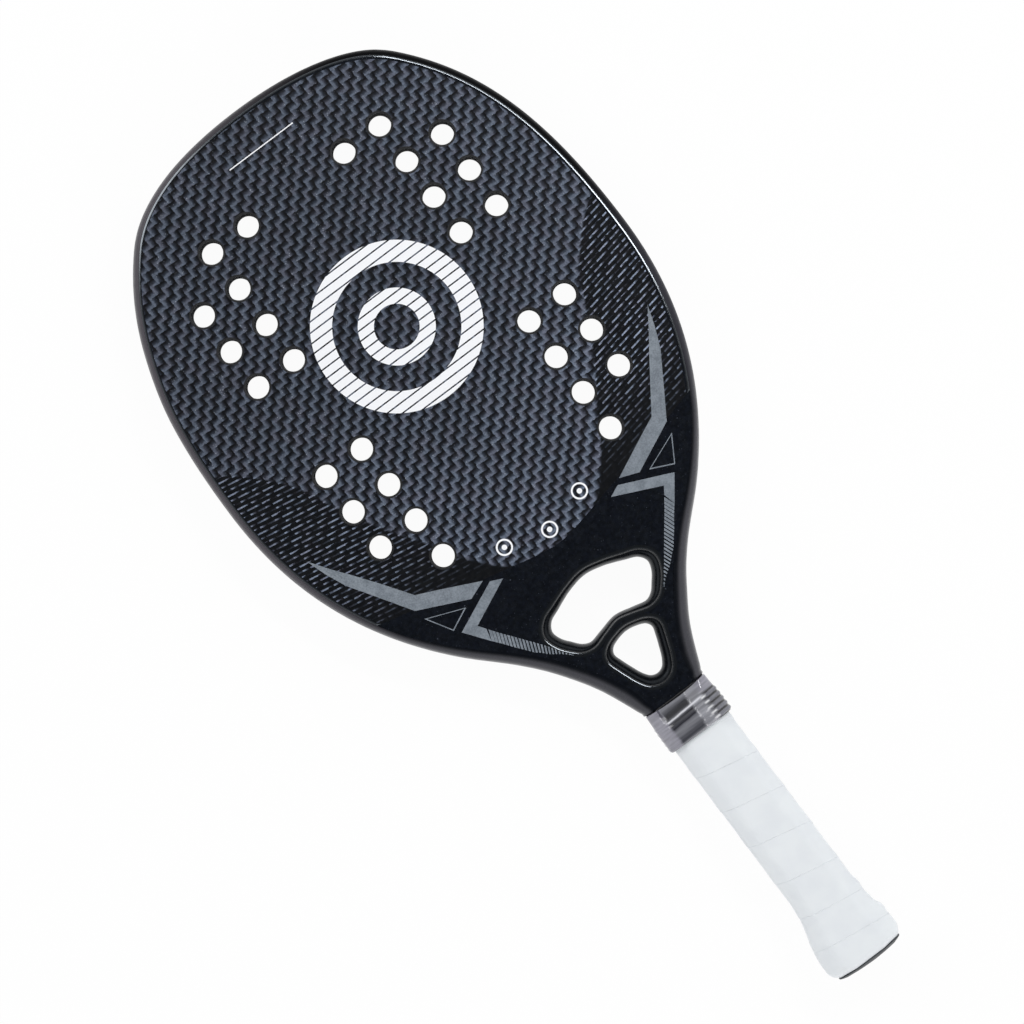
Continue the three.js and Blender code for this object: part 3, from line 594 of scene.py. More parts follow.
def lerp(first: Array | float, second: Array | float, share: Array | float) -> Array:
    """The place at a share of the way from first to second."""
    return first + (second - first) * share


def turns(count: int) -> Array:
    """Even shares of one turn."""
    return np.linspace(0.0, 1.0, count, endpoint=False)


def unit(vectors: Array) -> Array:
    """Vectors scaled to length 1 along the last axis."""
    return vectors / np.maximum(np.linalg.norm(vectors, axis=-1, keepdims=True), 1e-12)


def mirrored(line: Array) -> Array:
    """A plane line on the racket's other side, run backwards."""
    return (line * [-1, 1])[::-1]


def at_height(line: Array, height: float) -> Array:
    """A plane line, (n, 2), at a height, as (n, 3)."""
    return np.column_stack([line, np.full(len(line), height)])


def straight(line: Array, high: float, low: float) -> Array:
    """The upright wall over a plane line, (2, n, 3)."""
    return np.stack([at_height(line, high), at_height(line, low)])


def along_handle(section: Array, along: Array | float) -> Array:
    """Points of the handle's section, (..., 2), at places along it, as (..., 3)."""
    return np.stack([section[..., 0], np.broadcast_to(along, section.shape[:-1]), section[..., 1]], axis=-1)


def length_run(line: Array) -> Array:
    """Length of a line from its start to each of its points."""
    return np.concatenate([[0.0], np.cumsum(np.linalg.norm(np.diff(line, axis=0), axis=1))])


def read_off(line: Array, run: Array, wanted: Array | float) -> Array:
    """Each column of a line, interpolated at the wanted places of its run."""
    return np.stack([np.interp(wanted, run, column) for column in line.T], axis=-1)


def spaced(line: Array, count: int, columns: int = 3) -> Array:
    """Points at even steps of length.

    Args:
        line: Fine polyline, (n, k).
        count: Number of points wanted, with both ends.
        columns: How many of its first columns the length is measured in.

    Returns:
        (count, k) points.
    """
    run = length_run(line[:, :columns])
    return read_off(line, run, np.linspace(0.0, run[-1], count))


def first_under(line: Array, height: Array) -> tuple[int, Array]:
    """Number of a line's first point whose height is below 0, and the place before it where it is 0."""
    last = int(np.argmax(height < 0))
    share = height[last - 1] / (height[last - 1] - height[last])
    return last, lerp(line[last - 1], line[last], share)


def inside(points: Array, ring: Array) -> Array:
    """Even-odd test: whether each point has an odd number of the ring's edges to its right."""
    ax, ay = ring[:, 0], ring[:, 1]
    bx, by = np.roll(ax, -1), np.roll(ay, -1)
    px, py = points[:, :1], points[:, 1:2]
    spans = (ay <= py) != (by <= py)
    rise = np.where(by == ay, 1.0, by - ay)
    crossing = ax + (py - ay) * (bx - ax) / rise
    return (np.sum(spans & (crossing > px), axis=1) % 2).astype(bool)


def in_scene(name: str, data: bpy.types.ID) -> bpy.types.Object:
    """A new object in the scene."""
    thing = bpy.data.objects.new(name, data)
    bpy.context.scene.collection.objects.link(thing)
    return thing


@dataclass(frozen=True)
class Printed:
    """A shape printed on a plate: its outline in the plane and its finish."""

    outline: Array
    finish: str


@dataclass
class Skin:
    """Grids and flats gathered into one mesh."""

    finishes: tuple[str, ...]
    points: list[Array] = field(default_factory=list)
    faces: list[list[int]] = field(default_factory=list)
    smooth: list[bool] = field(default_factory=list)
    numbers: list[int] = field(default_factory=list)
    count: int = 0
    corner_degrees: float = 38.0

    def add(self, points: Array, faces: Array, smooth: bool, numbers: Array | int = 0) -> None:
        """Adds points with the faces over them.

        Args:
            points: (n, 3) in racket millimetres.
            faces: (m, 3) or (m, 4) places in points.
            smooth: Whether the faces are shaded as a curved surface.
            numbers: Number of the finish, one for all faces or one each.
        """
        self.points.append(points)
        self.faces += (faces + self.count).tolist()
        self.smooth += [smooth] * len(faces)
        self.numbers += np.broadcast_to(numbers, len(faces)).tolist()
        self.count += len(points)

    def grid(self, grid: Array, close_rows: bool = False, numbers: Array | int = 0) -> None:
        """Adds a grid of quads whose last column joins its first.

        Args:
            grid: (rows, columns, 3) in racket millimetres.
            close_rows: Whether the last row joins the first, too.
            numbers: Number of the finish, one for all faces or one each.
        """
        rows, columns = grid.shape[:2]
        places = np.arange(rows * columns).reshape(rows, columns)
        if close_rows:
            places = np.vstack([places, places[:1]])
        after = np.roll(places, -1, axis=1)
        faces = np.stack([places[:-1], after[:-1], after[1:], places[1:]], axis=-1).reshape(-1, 4)
        self.add(grid.reshape(-1, 3), faces, True, numbers)

    def fan(self, ring: Array) -> None:
        """Closes a ring with flat triangles from its middle."""
        order = np.arange(len(ring))
        faces = np.column_stack([order, np.roll(order, -1), np.full(len(ring), len(ring))])
        self.add(np.vstack([ring, ring.mean(axis=0)]), faces, False)

    def dressed(self, middles: Array, own: str, prints: list[Printed]) -> Array:
        """Number of each face's finish: of the last print that its middle lies in, or else its own."""
        numbers = np.full(len(middles), self.finishes.index(own))
        for shape in prints:
            numbers[inside(middles, shape.outline)] = self.finishes.index(shape.finish)
        return numbers

    def flat(self, rings: list[Array], height: float, prints: list[Printed]) -> None:
        """Adds a flat with holes in the first finish, cut along the outlines of what is printed on it.

        All outlines go into one triangulation. A triangle is kept where its middle lies inside an odd number
        of the rings.

        Args:
            rings: Closed lines, (n, 2): the outer edge and each hole.
            height: Height of the flat.
            prints: Shapes printed on it.
        """
        outlines = [*rings, *(shape.outline for shape in prints)]
        edges = []
        for outline in outlines:
            order = np.arange(len(outline)) + len(edges)
            edges += np.column_stack([order, np.roll(order, -1)]).tolist()
        places = [Vector(place) for place in np.vstack(outlines).tolist()]
        made = delaunay_2d_cdt(places, edges, [], 0, 1e-5, True)
        points, faces = np.array([tuple(place) for place in made[0]]), np.array(made[2])
        middles = points[faces].mean(axis=1)
        kept = sum(inside(middles, ring) for ring in rings) % 2 == 1
        numbers = self.dressed(middles[kept], self.finishes[0], prints)
        self.add(at_height(points, height), faces[kept], False, numbers)

    def plate(self, rims: list[Array], prints: list[Printed], side: Side, wall: str, edge: str,
              over: float = 0.0) -> None:
        """Adds a plate: the wall round its edge and round each hole, and two flats.

        Args:
            rims: One grid for each closed wall, (levels, n, 3), from the upper flat's edge downwards.
            prints: Shapes printed on one of the flats.
            side: The side that they are printed on.
            wall: Finish of the holes' walls.
            edge: Finish of the outer wall.
            over: How far down the walls the prints run.
        """
        levels = {Side.FRONT: 0, Side.BACK: -1}
        for order, rim in enumerate(rims):
            pairs = rim[:-1] + rim[1:]
            middles = ((pairs + np.roll(pairs, -1, axis=1)) / 4).reshape(-1, 3)
            near = np.abs(middles[:, 2] - rims[0][levels[side], 0, 2]) < over
            numbers = self.dressed(middles, wall if order else edge, [])
            numbers[near] = self.dressed(middles[near], wall if order else edge, prints)
            self.grid(rim, numbers=numbers)
        for of_side, level in levels.items():
            rings = [rim[level, :, :2] for rim in rims]
            self.flat(rings, rims[0][level, 0, 2], prints if side is of_side else [])

    def piece(self, name: str, slot: Slot, *nodes: str) -> bpy.types.Object:
        """Makes the object: doubles merged, faces turned outwards, riding on the racket's body.

        Args:
            name: Name of the piece.
            slot: The record's slot that its finish belongs to. Not used.
            *nodes: CAD nodes that it stands for.

        Returns:
            The object, at the origin.
        """
        mesh = bpy.data.meshes.new(name)
        row_points = (np.vstack(self.points) + RACKET_IN_ROW) * METRE
        mesh.from_pydata(row_points.tolist(), [], self.faces)
        mesh.polygons.foreach_set("use_smooth", np.array(self.smooth, bool))
        mesh.polygons.foreach_set("material_index", np.array(self.numbers, np.int32))
        for finish in self.finishes:
            mesh.materials.append(finish_of(finish))
        shell = bmesh.new()
        shell.from_mesh(mesh)
        bmesh.ops.remove_doubles(shell, verts=shell.verts, dist=2e-6)
        bmesh.ops.recalc_face_normals(shell, faces=shell.faces)
        shell.to_mesh(mesh)
        shell.free()
        mesh.update()
        mesh.set_sharp_from_angle(angle=math.radians(self.corner_degrees))
        thing = in_scene(name, mesh)
        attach(thing, BODY)
        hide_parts(*nodes)
        LOG.info("%s: %d points, %d faces", name, len(mesh.vertices), len(mesh.polygons))
        return thing


def whole_piece(grid: Array, name: str, finish: str, slot: Slot, node: str,
                hollow: bool = False) -> bpy.types.Object:
    """A piece of one grid.

    Args:
        grid: (rows, columns, 3) in racket millimetres, closed round its columns.
        name: Name of the piece.
        finish: Its finish.
        slot: The record's slot that the finish belongs to.
        node: CAD node that it stands for.
        hollow: Whether the last row joins the first. Otherwise a fan closes each end.

    Returns:
        The object.
    """
    skin = Skin((finish,))
    skin.grid(grid, hollow)
    if not hollow:
        skin.fan(grid[0])
        skin.fan(grid[-1])
    return skin.piece(name, slot, node)


def arc(radius: float, turn: Array) -> Array:
    """A rounded corner as rows of inset and drop, for angles that the surface leans by."""
    return radius * np.column_stack([math.sin(turn[-1]) - np.sin(turn), 1.0 - np.cos(turn)])


# Corners in millimetres of inset and drop: the sheets' nearly flat bevel of about 16 degrees, the rounded
# edge of a drilled hole, and the wide arc of a throat opening's rim
BEVEL = np.array([(0.95, 0.0), (0.88, 0.008), (0.81, 0.025), (0.46, 0.122), (0.12, 0.222), (0.05, 0.257),
                  (0.0, 0.365)])
HOLE_EDGE = arc(0.45, np.linspace(0.0, math.pi / 2, 6))
RIM = arc(4.6, np.radians([0.0, 3.0, 6.0, 9.0, 12.0, 15.0, 18.0, 20.5]))


def shaped_wall(line: Array, out: Array, levels: tuple[float, float], corner: Array, side: Side,
                share: Array | float = 1.0) -> Array:
    """The wall under a plate's edge, with a shaped corner where it meets the flat on one side.

    Args:
        line: Closed line of the wall, (n, 2).
        out: Way out of the material, (n, 2).
        levels: Heights of the upper and the lower flat.
        corner: Rows of inset and drop, from the flat down.
        side: Side that has the corner.
        share: How much of the inset each point has.

    Returns:
        (levels, n, 3): the line moved in by each inset, at each drop from the flat.
    """
    near, far = levels[::side.value]
    weight = np.broadcast_to(share, len(line))[:, None]
    rows = [at_height(line - out * inset * weight, near - side.value * drop) for inset, drop in corner]
    return np.stack([*rows, at_height(line, far)])[::side.value]


# The racket's outlines


@dataclass(frozen=True)
class Outline:
    """The head's outside line and what follows it, as in the solid model."""

    length: float = 500.0
    handle_length: float = 157.0
    head_width: float = 231.5
    neck_width: float = 36.3
    half_thickness: float = 11.0
    core_half: float = 10.2
    round_head: float = 3.2
    round_neck: float = 6.2
    round_leg: float = 4.2
    tube_width: float = 10.0
    tube_corner: float = 1.0
    spacer_half: float = 2.1
    clearance: float = 0.3
    leg_height: float = 17.6
    leg_outside: float = 10.1
    leg_bottom: float = 8.0
    seat_half: float = 16.0
    shoulder: float = 155.6
    collar_top: float = 155.3
    wrap_top: float = 141.5
    face_edge: float = 245.3
    edge_softness: float = 8.0
    edge_slope_share: float = 0.24
    small_opening: float = 168.5
    steps: int = 320
    throat_slope: float = 1.5
    legs_in: tuple[float, float] = (0.45, 0.8)
    knee: float = 190.0
    shares: Rows = (
        (0, 1), (0.395, 1), (0.582, 0.963), (0.673, 0.928), (0.916, 0.836), (1, 0.723), (1, 0.557),
        (1, 0.405), (0.83, 0.288), (0.528, 0.187), (0.278, 0.104), (0.236, 0.068), (0, 0),
    )

    def levels(self, side: Side) -> tuple[float, float]:
        """Heights of the upper and the lower flat of a sheet on one side."""
        return (self.half_thickness, self.core_half) if side is Side.FRONT else (
            -self.core_half, -self.half_thickness)

    def half(self) -> tuple[Array, Array, Array]:
        """Stations down the right half, from the tip of the head to the leg's end in the handle.

        The line is four cubic curves that share their ends. The way in is square to it, and turns level
        below the small opening. The rounding is the solid's, and a little more at the throat.

        Returns:
            Places (n, 2), ways in (n, 2), and (n, 3) with the rounding, tube width and half height.
        """
        points = np.array(self.shares) * [self.head_width / 2, self.length - self.handle_length]
        points[:, 1] += self.handle_length
        points[-1, 0] = self.neck_width / 2
        t = np.linspace(0.0, 1.0, 400)[:, None]
        curves = []
        for first in range(0, len(points) - 3, 3):
            a, b, c, d = points[first:first + 4]
            place = (1 - t) ** 3 * a + 3 * (1 - t) ** 2 * t * b + 3 * (1 - t) * t ** 2 * c + t ** 3 * d
            slope = (1 - t) ** 2 * (b - a) + 2 * (1 - t) * t * (c - b) + t ** 2 * (d - c)
            curves.append(np.hstack([place, unit(slope)]))
        x, y, slope_x, slope_y = spaced(np.vstack(curves), self.steps + 1, columns=2).T
        turn = 1.0 - smoothstep(y, self.handle_length, self.small_opening)
        inward = unit(lerp(np.column_stack([slope_y, -slope_x]), np.array([-1.0, 0.0]), turn[:, None]))
        throat = 1.0 - smoothstep(y, self.handle_length, self.face_edge)
        level = np.ones(len(y))
        sizes = np.column_stack([lerp(self.round_head, self.round_neck, throat), level * self.tube_width,
                                 level * self.core_half])
        legs, leg_sizes = self.leg()
        places = np.vstack([np.column_stack([x, y]), legs])
        sizes = np.vstack([sizes, leg_sizes])
        more = smoothstep(places[:, 1], 156.5, 168.0) * (1.0 - smoothstep(places[:, 1], 226.0, 260.0))
        sizes[:, 0] += self.throat_slope * more
        return places, np.vstack([inward, np.broadcast_to([-1.0, 0.0], legs.shape)]), sizes

    def leg(self) -> tuple[Array, Array]:
        """Stations below the neck: the step in under the collar, a smooth taper and the straight leg."""
        at_neck = (self.round_neck, self.tube_width, self.core_half)
        at_leg = (self.round_leg, self.leg_outside - self.spacer_half - self.clearance, self.leg_height / 2)
        along = np.linspace(0.0, 1.0, 16)
        taper = smoothstep(along, 0.0, 1.0)
        places = np.column_stack([
            lerp(self.seat_half, self.leg_outside, taper),
            lerp(self.collar_top, self.wrap_top + self.clearance, along),
        ])
        sizes = lerp(np.array(at_neck), np.array(at_leg), taper[:, None])
        neck, foot = (self.neck_width / 2, self.shoulder), (self.leg_outside, self.leg_bottom)
        return np.vstack([neck, places, foot]), np.vstack([at_neck, sizes, sizes[-1]])

    def edge(self, half_width: float, count: int, gap: float = 0.0) -> Array:
        """The striking faces' lower edge between two places, without them, as (count - 2, 2).

        Its height grows with the square root of the distance squared plus the softness squared.
        """
        across = np.linspace(half_width, -half_width, count)[1:-1]
        return np.column_stack([across, self.edge_height(across, gap)])

    def edge_height(self, across: Array, gap: float = 0.0) -> Array:
        """Height along the racket of that edge."""
        far = np.hypot(across, self.edge_softness) - self.edge_softness
        return self.face_edge + gap + self.edge_slope_share * far

    def half_line(self, extra: float | None) -> tuple[Array, Array]:
        """The right half moved in by the rounding, or by the tube's width and something extra."""
        place, inward, sizes = self.half()
        inset = sizes[:, 0] if extra is None else sizes[:, 1] + extra
        return place + inward * inset[:, None], inward

    def eased(self, line: Array) -> Array:
        """The line drawn in by about a millimetre at the tip, the upper left and the throat's legs."""
        across, along = line.T
        tip = smoothstep(along, 482.0, 500.0)
        left = smoothstep(-across, 20.0, 60.0) * smoothstep(along, 398.0, 432.0) * (1.0 - tip)
        way = unit(np.array([0.0, 380.0]) - line)
        sign = np.sign(across)
        leg = smoothstep(along, 155.3, 155.7) * (1.0 - smoothstep(along, 208.0, 234.0))
        leg *= 1.0 - 0.65 * np.exp(-((along - self.knee) / 9.0) ** 2)
        leg += 0.6 * smoothstep(along, 155.3, 155.6) * (1.0 - smoothstep(along, 155.6, 159.5))
        leg *= np.where(sign < 0, *self.legs_in) * smoothstep(np.abs(across), 9.0, 12.0)
        slope = np.column_stack([-0.86 * sign, np.full(len(line), 0.5)])
        return line + way * (1.15 * tip + 0.7 * left)[:, None] + slope * leg[:, None]

    def head_ring(self, extra: float | None) -> tuple[Array, Array, Array]:
        """Closed clockwise line round the head above the faces' lower edge.

        Returns:
            Places, ways out, and a share that is 1 on the outside line and 0 along the lower edge.
        """
        line, inward = self.half_line(extra)
        last, end = first_under(line, line[:, 1] - self.edge_height(line[:, 0]))
        right, way = np.vstack([line[:last], end]), np.vstack([inward[:last], inward[last - 1]])
        lower = self.edge(end[0], 90)
        share = np.ones(2 * len(right) - 1 + len(lower))
        share[len(right):len(right) + len(lower)] = 0.0
        out = -np.vstack([way, np.broadcast_to([0.0, 1.0], lower.shape), mirrored(way[1:])])
        return self.eased(np.vstack([right, lower, mirrored(right[1:])])), out, share

    def throat_ring(self, extra: float | None, bottom: float, gap: float) -> Array:
        """Closed clockwise line round the throat, between the faces' lower edge and a line across."""
        line, _ = self.half_line(extra)
        first, start = first_under(line, line[:, 1] - self.edge_height(line[:, 0], gap))
        line = np.vstack([start, line[first:]])
        last, end = first_under(line, line[:, 1] - bottom)
        right = np.vstack([line[:last], end])
        across = np.linspace(end[0], -end[0], 24)[1:-1]
        low = np.column_stack([across, np.full(len(across), bottom)])
        sides = self.eased(np.vstack([right, low, mirrored(right)]))
        return np.vstack([sides, self.edge(-start[0], 90, gap)])


@dataclass(frozen=True)
class Opening:
    """One throat opening, as shares of its half-width, its length and its rim's width."""

    bottom: float
    length: float
    half_width: float
    shares: Rows
    rim_width: float = 4.8
    count: int = 220

    def lines(self) -> tuple[Array, Array, Array]:
        """The opening at the mid-plane, clockwise from the middle of its top.

        The curve through the points is the centripetal one: each span is a cubic whose end slopes weigh
        the neighbouring points by the square roots of their distances.

        Returns:
            Places (n, 2), ways out (n, 2), and the rim's width at each point (n,).
        """
        half = np.array(self.shares) * [self.half_width, self.length, self.rim_width] + [0, self.bottom, 0]
        knots = np.vstack([half, (half[1:-1] * [-1, 1, 1])[::-1]])[:, None]
        p0, p1, p2, p3 = (np.roll(knots, shift, axis=0) for shift in (1, 0, -1, -2))
        d0, d1, d2 = (np.sqrt(np.linalg.norm(second - first, axis=-1, keepdims=True))
                      for first, second in ((p0, p1), (p1, p2), (p2, p3)))
        first = ((p1 - p0) / d0 - (p2 - p0) / (d0 + d1) + (p2 - p1) / d1) * d1
        second = ((p2 - p1) / d1 - (p3 - p1) / (d1 + d2) + (p3 - p2) / d2) * d1
        t = turns(40)[None, :, None]
        curve = (p1 * (2 * t ** 3 - 3 * t ** 2 + 1) + first * (t ** 3 - 2 * t ** 2 + t)
                 + p2 * (3 * t ** 2 - 2 * t ** 3) + second * (t ** 3 - t ** 2)).reshape(-1, 3)
        line = spaced(np.vstack([curve, curve[:1]]), self.count + 1)[:-1]
        place = line[:, :2]
        along = np.roll(place, -1, axis=0) - np.roll(place, 1, axis=0)
        return place, unit(np.column_stack([-along[:, 1], along[:, 0]])), line[:, 2]


OUTLINE = Outline()
OPENINGS = (
    Opening(168.5, 24.6, 11.05, (
        (0, 1, 0.62), (0.5, 0.962, 0.62), (0.86, 0.888, 0.7), (1, 0.776, 0.95), (0.89, 0.593, 1),
        (0.757, 0.431, 1), (0.504, 0.167, 1.02), (0.278, 0.04, 1.08), (0, 0, 1.1),
    ), count=160),
    Opening(199.1, 26.8, 27.9, (
        (0, 1, 0.66), (0.35, 0.933, 0.65), (0.7, 0.79, 0.75), (0.91, 0.69, 0.85), (1, 0.54, 1),
        (0.957, 0.366, 1), (0.84, 0.2, 1), (0.72, 0.06, 0.9), (0.59, 0, 0.7), (0.35, 0.049, 0.58),
        (0, 0.123, 0.52),
    )),
)


@dataclass(frozen=True)
class Stripes:
    """The silver stripes on each side of the throat, in racket millimetres on the right side."""

    finish: str = "silver_print"
    bars: int = 22
    first_bar: float = 0.95
    bar_pitch: float = 1.785
    bar_shares: tuple[float, float] = (0.92, 0.42)
    slant: tuple[float, float] = (0.355, -0.935)
    low_inset: float = 0.3
    side_insets: Rows = ((1, 0.3), (-1, 1.2))
    line_share: float = 0.115
    long_bend: Rows = (
        (100, 309.5), (96.7, 299.4), (92.5, 289.3), (85, 277), (74.6, 260.4), (50.1, 249), (40.7, 252.6),
        (60, 261.8), (70.2, 266.4), (79.6, 280), (87.5, 291.4), (93.6, 300),
    )
    short_bend: Rows = (
        (38.2, 250.4), (32.4, 247.8), (55.4, 237.2), (52.9, 233.6), (54.4, 227.5), (60, 235), (63.2, 239.2),
    )
    inner_edge: Rows = (
        (52.4, 232.9), (49.6, 229), (45.2, 223.3), (40.9, 217.7), (36.5, 212), (33.2, 207.6), (29.9, 203.6),
        (27.6, 200.6), (26.3, 198.4),
    )
    outer_edge: Rows = (
        (54.4, 227.6), (50.4, 222.6), (47, 218), (44.5, 215), (41.5, 211.2), (39, 209.2), (36.8, 207),
        (34.3, 205), (32, 203.6), (30, 202), (28.4, 200.6), (26.3, 198.4),
    )
    outlined: Rows = ((54.4, 247.3), (73.4, 254.8), (65.7, 242))

    def shapes(self) -> list[Printed]:
        """All stripes of both sides as printed shapes, each side's moved in a little at its lower end."""
        right = [np.array(self.long_bend, float), np.array(self.short_bend, float)]
        right += self.fading_bars() + self.triangle()
        shapes = []
        for shape in right:
            low = 1.0 - smoothstep(shape[:, :1], 78.0, 100.0)
            for side, most in self.side_insets:
                inward = lerp(self.low_inset, most, smoothstep(shape[:, 1:], 198.0, 213.0)) * low
                shapes.append(Printed((shape - inward * [1, 0]) * [side, 1], self.finish))
        return shapes

    def fading_bars(self) -> list[Array]:
        """Parallel slanted bars between two edges that run together, each narrower, and a tail."""
        inner, outer = (spaced(np.array(line, float), 801) for line in (self.inner_edge, self.outer_edge))
        run = length_run(inner)
        shapes = []
        for bar in range(self.bars + 1):
            half = lerp(*self.bar_shares, (bar / self.bars) ** 0.7) * self.bar_pitch / 2
            middle = self.first_bar + bar * self.bar_pitch
            ends = (middle - half, run[-1] if bar == self.bars else middle + half)
            start, stop = (read_off(inner, run, end) for end in ends)
            shapes.append(np.array([start, stop, self.across(stop, outer), self.across(start, outer)]))
        shapes[-1] = shapes[-1][[0, 1, 3]]
        return shapes

    def across(self, start: Array, line: Array) -> Array:
        """Where the bars' slant from a point meets a line."""
        offset = line - start
        return read_off(line, offset[:, 0] * self.slant[1] - offset[:, 1] * self.slant[0], 0.0)

    def triangle(self) -> list[Array]:
        """The outlined triangle's lines, thin quads between its corners and the corners moved in."""
        corners = np.array(self.outlined, float)
        inner = corners + (corners.mean(axis=0) - corners) * self.line_share
        turned, turned_inner = np.roll(corners, -1, axis=0), np.roll(inner, -1, axis=0)
        return [np.array(quad) for quad in zip(corners, turned, turned_inner, inner)]


# The frame


@dataclass
class Frame:
    """The hollow tube round the head, seen as one closed D section carried along the whole outline."""

    edge_steps: int = 30
    head_step: float = 0.5
    step_rise: tuple[float, float] = (215.0, 300.0)
    rebate_gap: float = 0.02

    def sections(self) -> Array:
        """The section at every station.

        The outer side's inset is the rounding times 1 less the root of 1 less the height cubed, with the
        height as a share of the greatest. That is level with the skins at the throat and a step lower
        round the head. A rebate takes each skin's edge. The inner side is flat, with cut corners.
        """
        right, inward, sizes = OUTLINE.half()
        place = OUTLINE.eased(np.vstack([mirrored(right[1:]), right]))
        inward = np.vstack([mirrored(inward[1:]), inward])
        round_, width, half = (column[:, None] for column in np.vstack([sizes[:0:-1], sizes]).T)
        rise = np.sin(np.linspace(-math.pi / 2, math.pi / 2, self.edge_steps))
        corner = OUTLINE.tube_corner
        reach = np.minimum(round_ - self.rebate_gap, width - 2 * corner)
        inset = reach * (1 - np.sqrt(1 - np.abs(rise) ** 3))
        step = smoothstep(place[:, 1:], *self.step_rise) * self.head_step
        lift = OUTLINE.half_thickness - OUTLINE.core_half - step
        lift *= smoothstep(place[:, 1:], OUTLINE.collar_top + 0.05, OUTLINE.shoulder - 0.05)
        inset = np.hstack([inset, reach, width - corner, width, width, width - corner, reach])
        height = np.hstack([(half + lift) * rise, half, half, half - corner, corner - half, -half, -half])
        return np.dstack([place[:, None, :] + inward[:, None, :] * inset[:, :, None], height])

    def build(self) -> None:
        """Makes the frame."""
        whole_piece(self.sections(), "frame_shell", "frame_lacquer", Slot.FRAME, "frame_tube")


@dataclass
class Head:
    """Foam core and the two woven sheets, drilled right through."""

    hole_radius: float = 5.5
    hole_seal: float = 1.05
    first_column: float = 28.5
    pitch: float = 21.0
    upper_top: float = 452.15
    lower_top: float = 336.55
    pattern_middle: float = 362.85
    side_step: float = 1.5
    turn_degrees: float = 0.4
    upper_rows: tuple[tuple[int, int], ...] = ((0, 0), (0, 3), (1, 3))
    lower_rows: tuple[tuple[int, int], ...] = ((0, -1), (0, 3), (0, 2))
    points_round: int = 56
    margins: tuple[float, float] = (1.25, 1.9)

    def centres(self) -> Array:
        """Centres of all holes, (n, 2), turned about the pattern's middle and moved sideways."""
        right = [
            (self.first_column + column * self.pitch, top - row * self.pitch)
            for top, rows in ((self.upper_top, self.upper_rows), (self.lower_top, self.lower_rows))
            for column, (first, last) in enumerate(rows)
            for row in range(first, last + 1)
        ]
        both = np.vstack([right, np.array(right) * [-1, 1]])
        turn = math.radians(self.turn_degrees)
        pivot = np.array([0.0, self.pattern_middle])
        spin = np.array([[math.cos(turn), math.sin(turn)], [-math.sin(turn), math.cos(turn)]])
        return (both - pivot) @ spin + pivot + [self.side_step, 0.0]

    def hole_walls(self, levels: tuple[float, float], side: Side | None) -> list[Array]:
        """The wall of each hole, with a sealed and rounded edge on one side or on none."""
        turn = np.linspace(0.0, 2 * math.pi, self.points_round, endpoint=False)
        out = -np.column_stack([np.sin(turn), np.cos(turn)])
        walls = []
        for centre in self.centres():
            line = centre - out * self.hole_radius
            if side is None:
                walls.append(straight(line, *levels))
                continue
            wall = shaped_wall(line, out, levels, HOLE_EDGE, side)
            seal = at_height(line - out * self.hole_seal, levels[::side.value][0])[None]
            walls.append(np.concatenate([seal, wall][::side.value]))
        return walls

    def sheet(self, side: Side) -> None:
        """One woven sheet: a lacquered margin, the cloth within it, and stripes printed on that."""
        levels = OUTLINE.levels(side)
        ring, out, share = OUTLINE.head_ring(None)
        rim = shaped_wall(ring, out, levels, BEVEL, side, share)
        margin = lerp(*self.margins, smoothstep(ring[:, 0], -60.0, 60.0)) * share
        cloth = Printed(ring - out * margin[:, None], "woven_carbon")
        skin = Skin(("satin_black", "silver_print", "hole_resin", "woven_carbon", "gloss_black"))
        skin.plate([rim, *self.hole_walls(levels, side)], [cloth, *Stripes().shapes()], side,
                   wall="hole_resin", edge="gloss_black")
        name = side.name.lower()
        skin.piece(f"{name}_sheet", Slot.WEAVE, f"{name}_face")

    def core(self) -> None:
        """The foam between the sheets."""
        levels = OUTLINE.core_half, -OUTLINE.core_half
        ring, _, _ = OUTLINE.head_ring(OUTLINE.clearance)
        skin = Skin(("core_foam", "painted_bore"))
        skin.plate([straight(ring, *levels), *self.hole_walls(levels, None)], [], Side.FRONT,
                   wall="painted_bore", edge="core_foam")
        skin.piece("drilled_core", Slot.CORE, "foam_core")

    def build(self) -> None:
        """Makes the core and both sheets."""
        self.core()
        for side in Side:
            self.sheet(side)


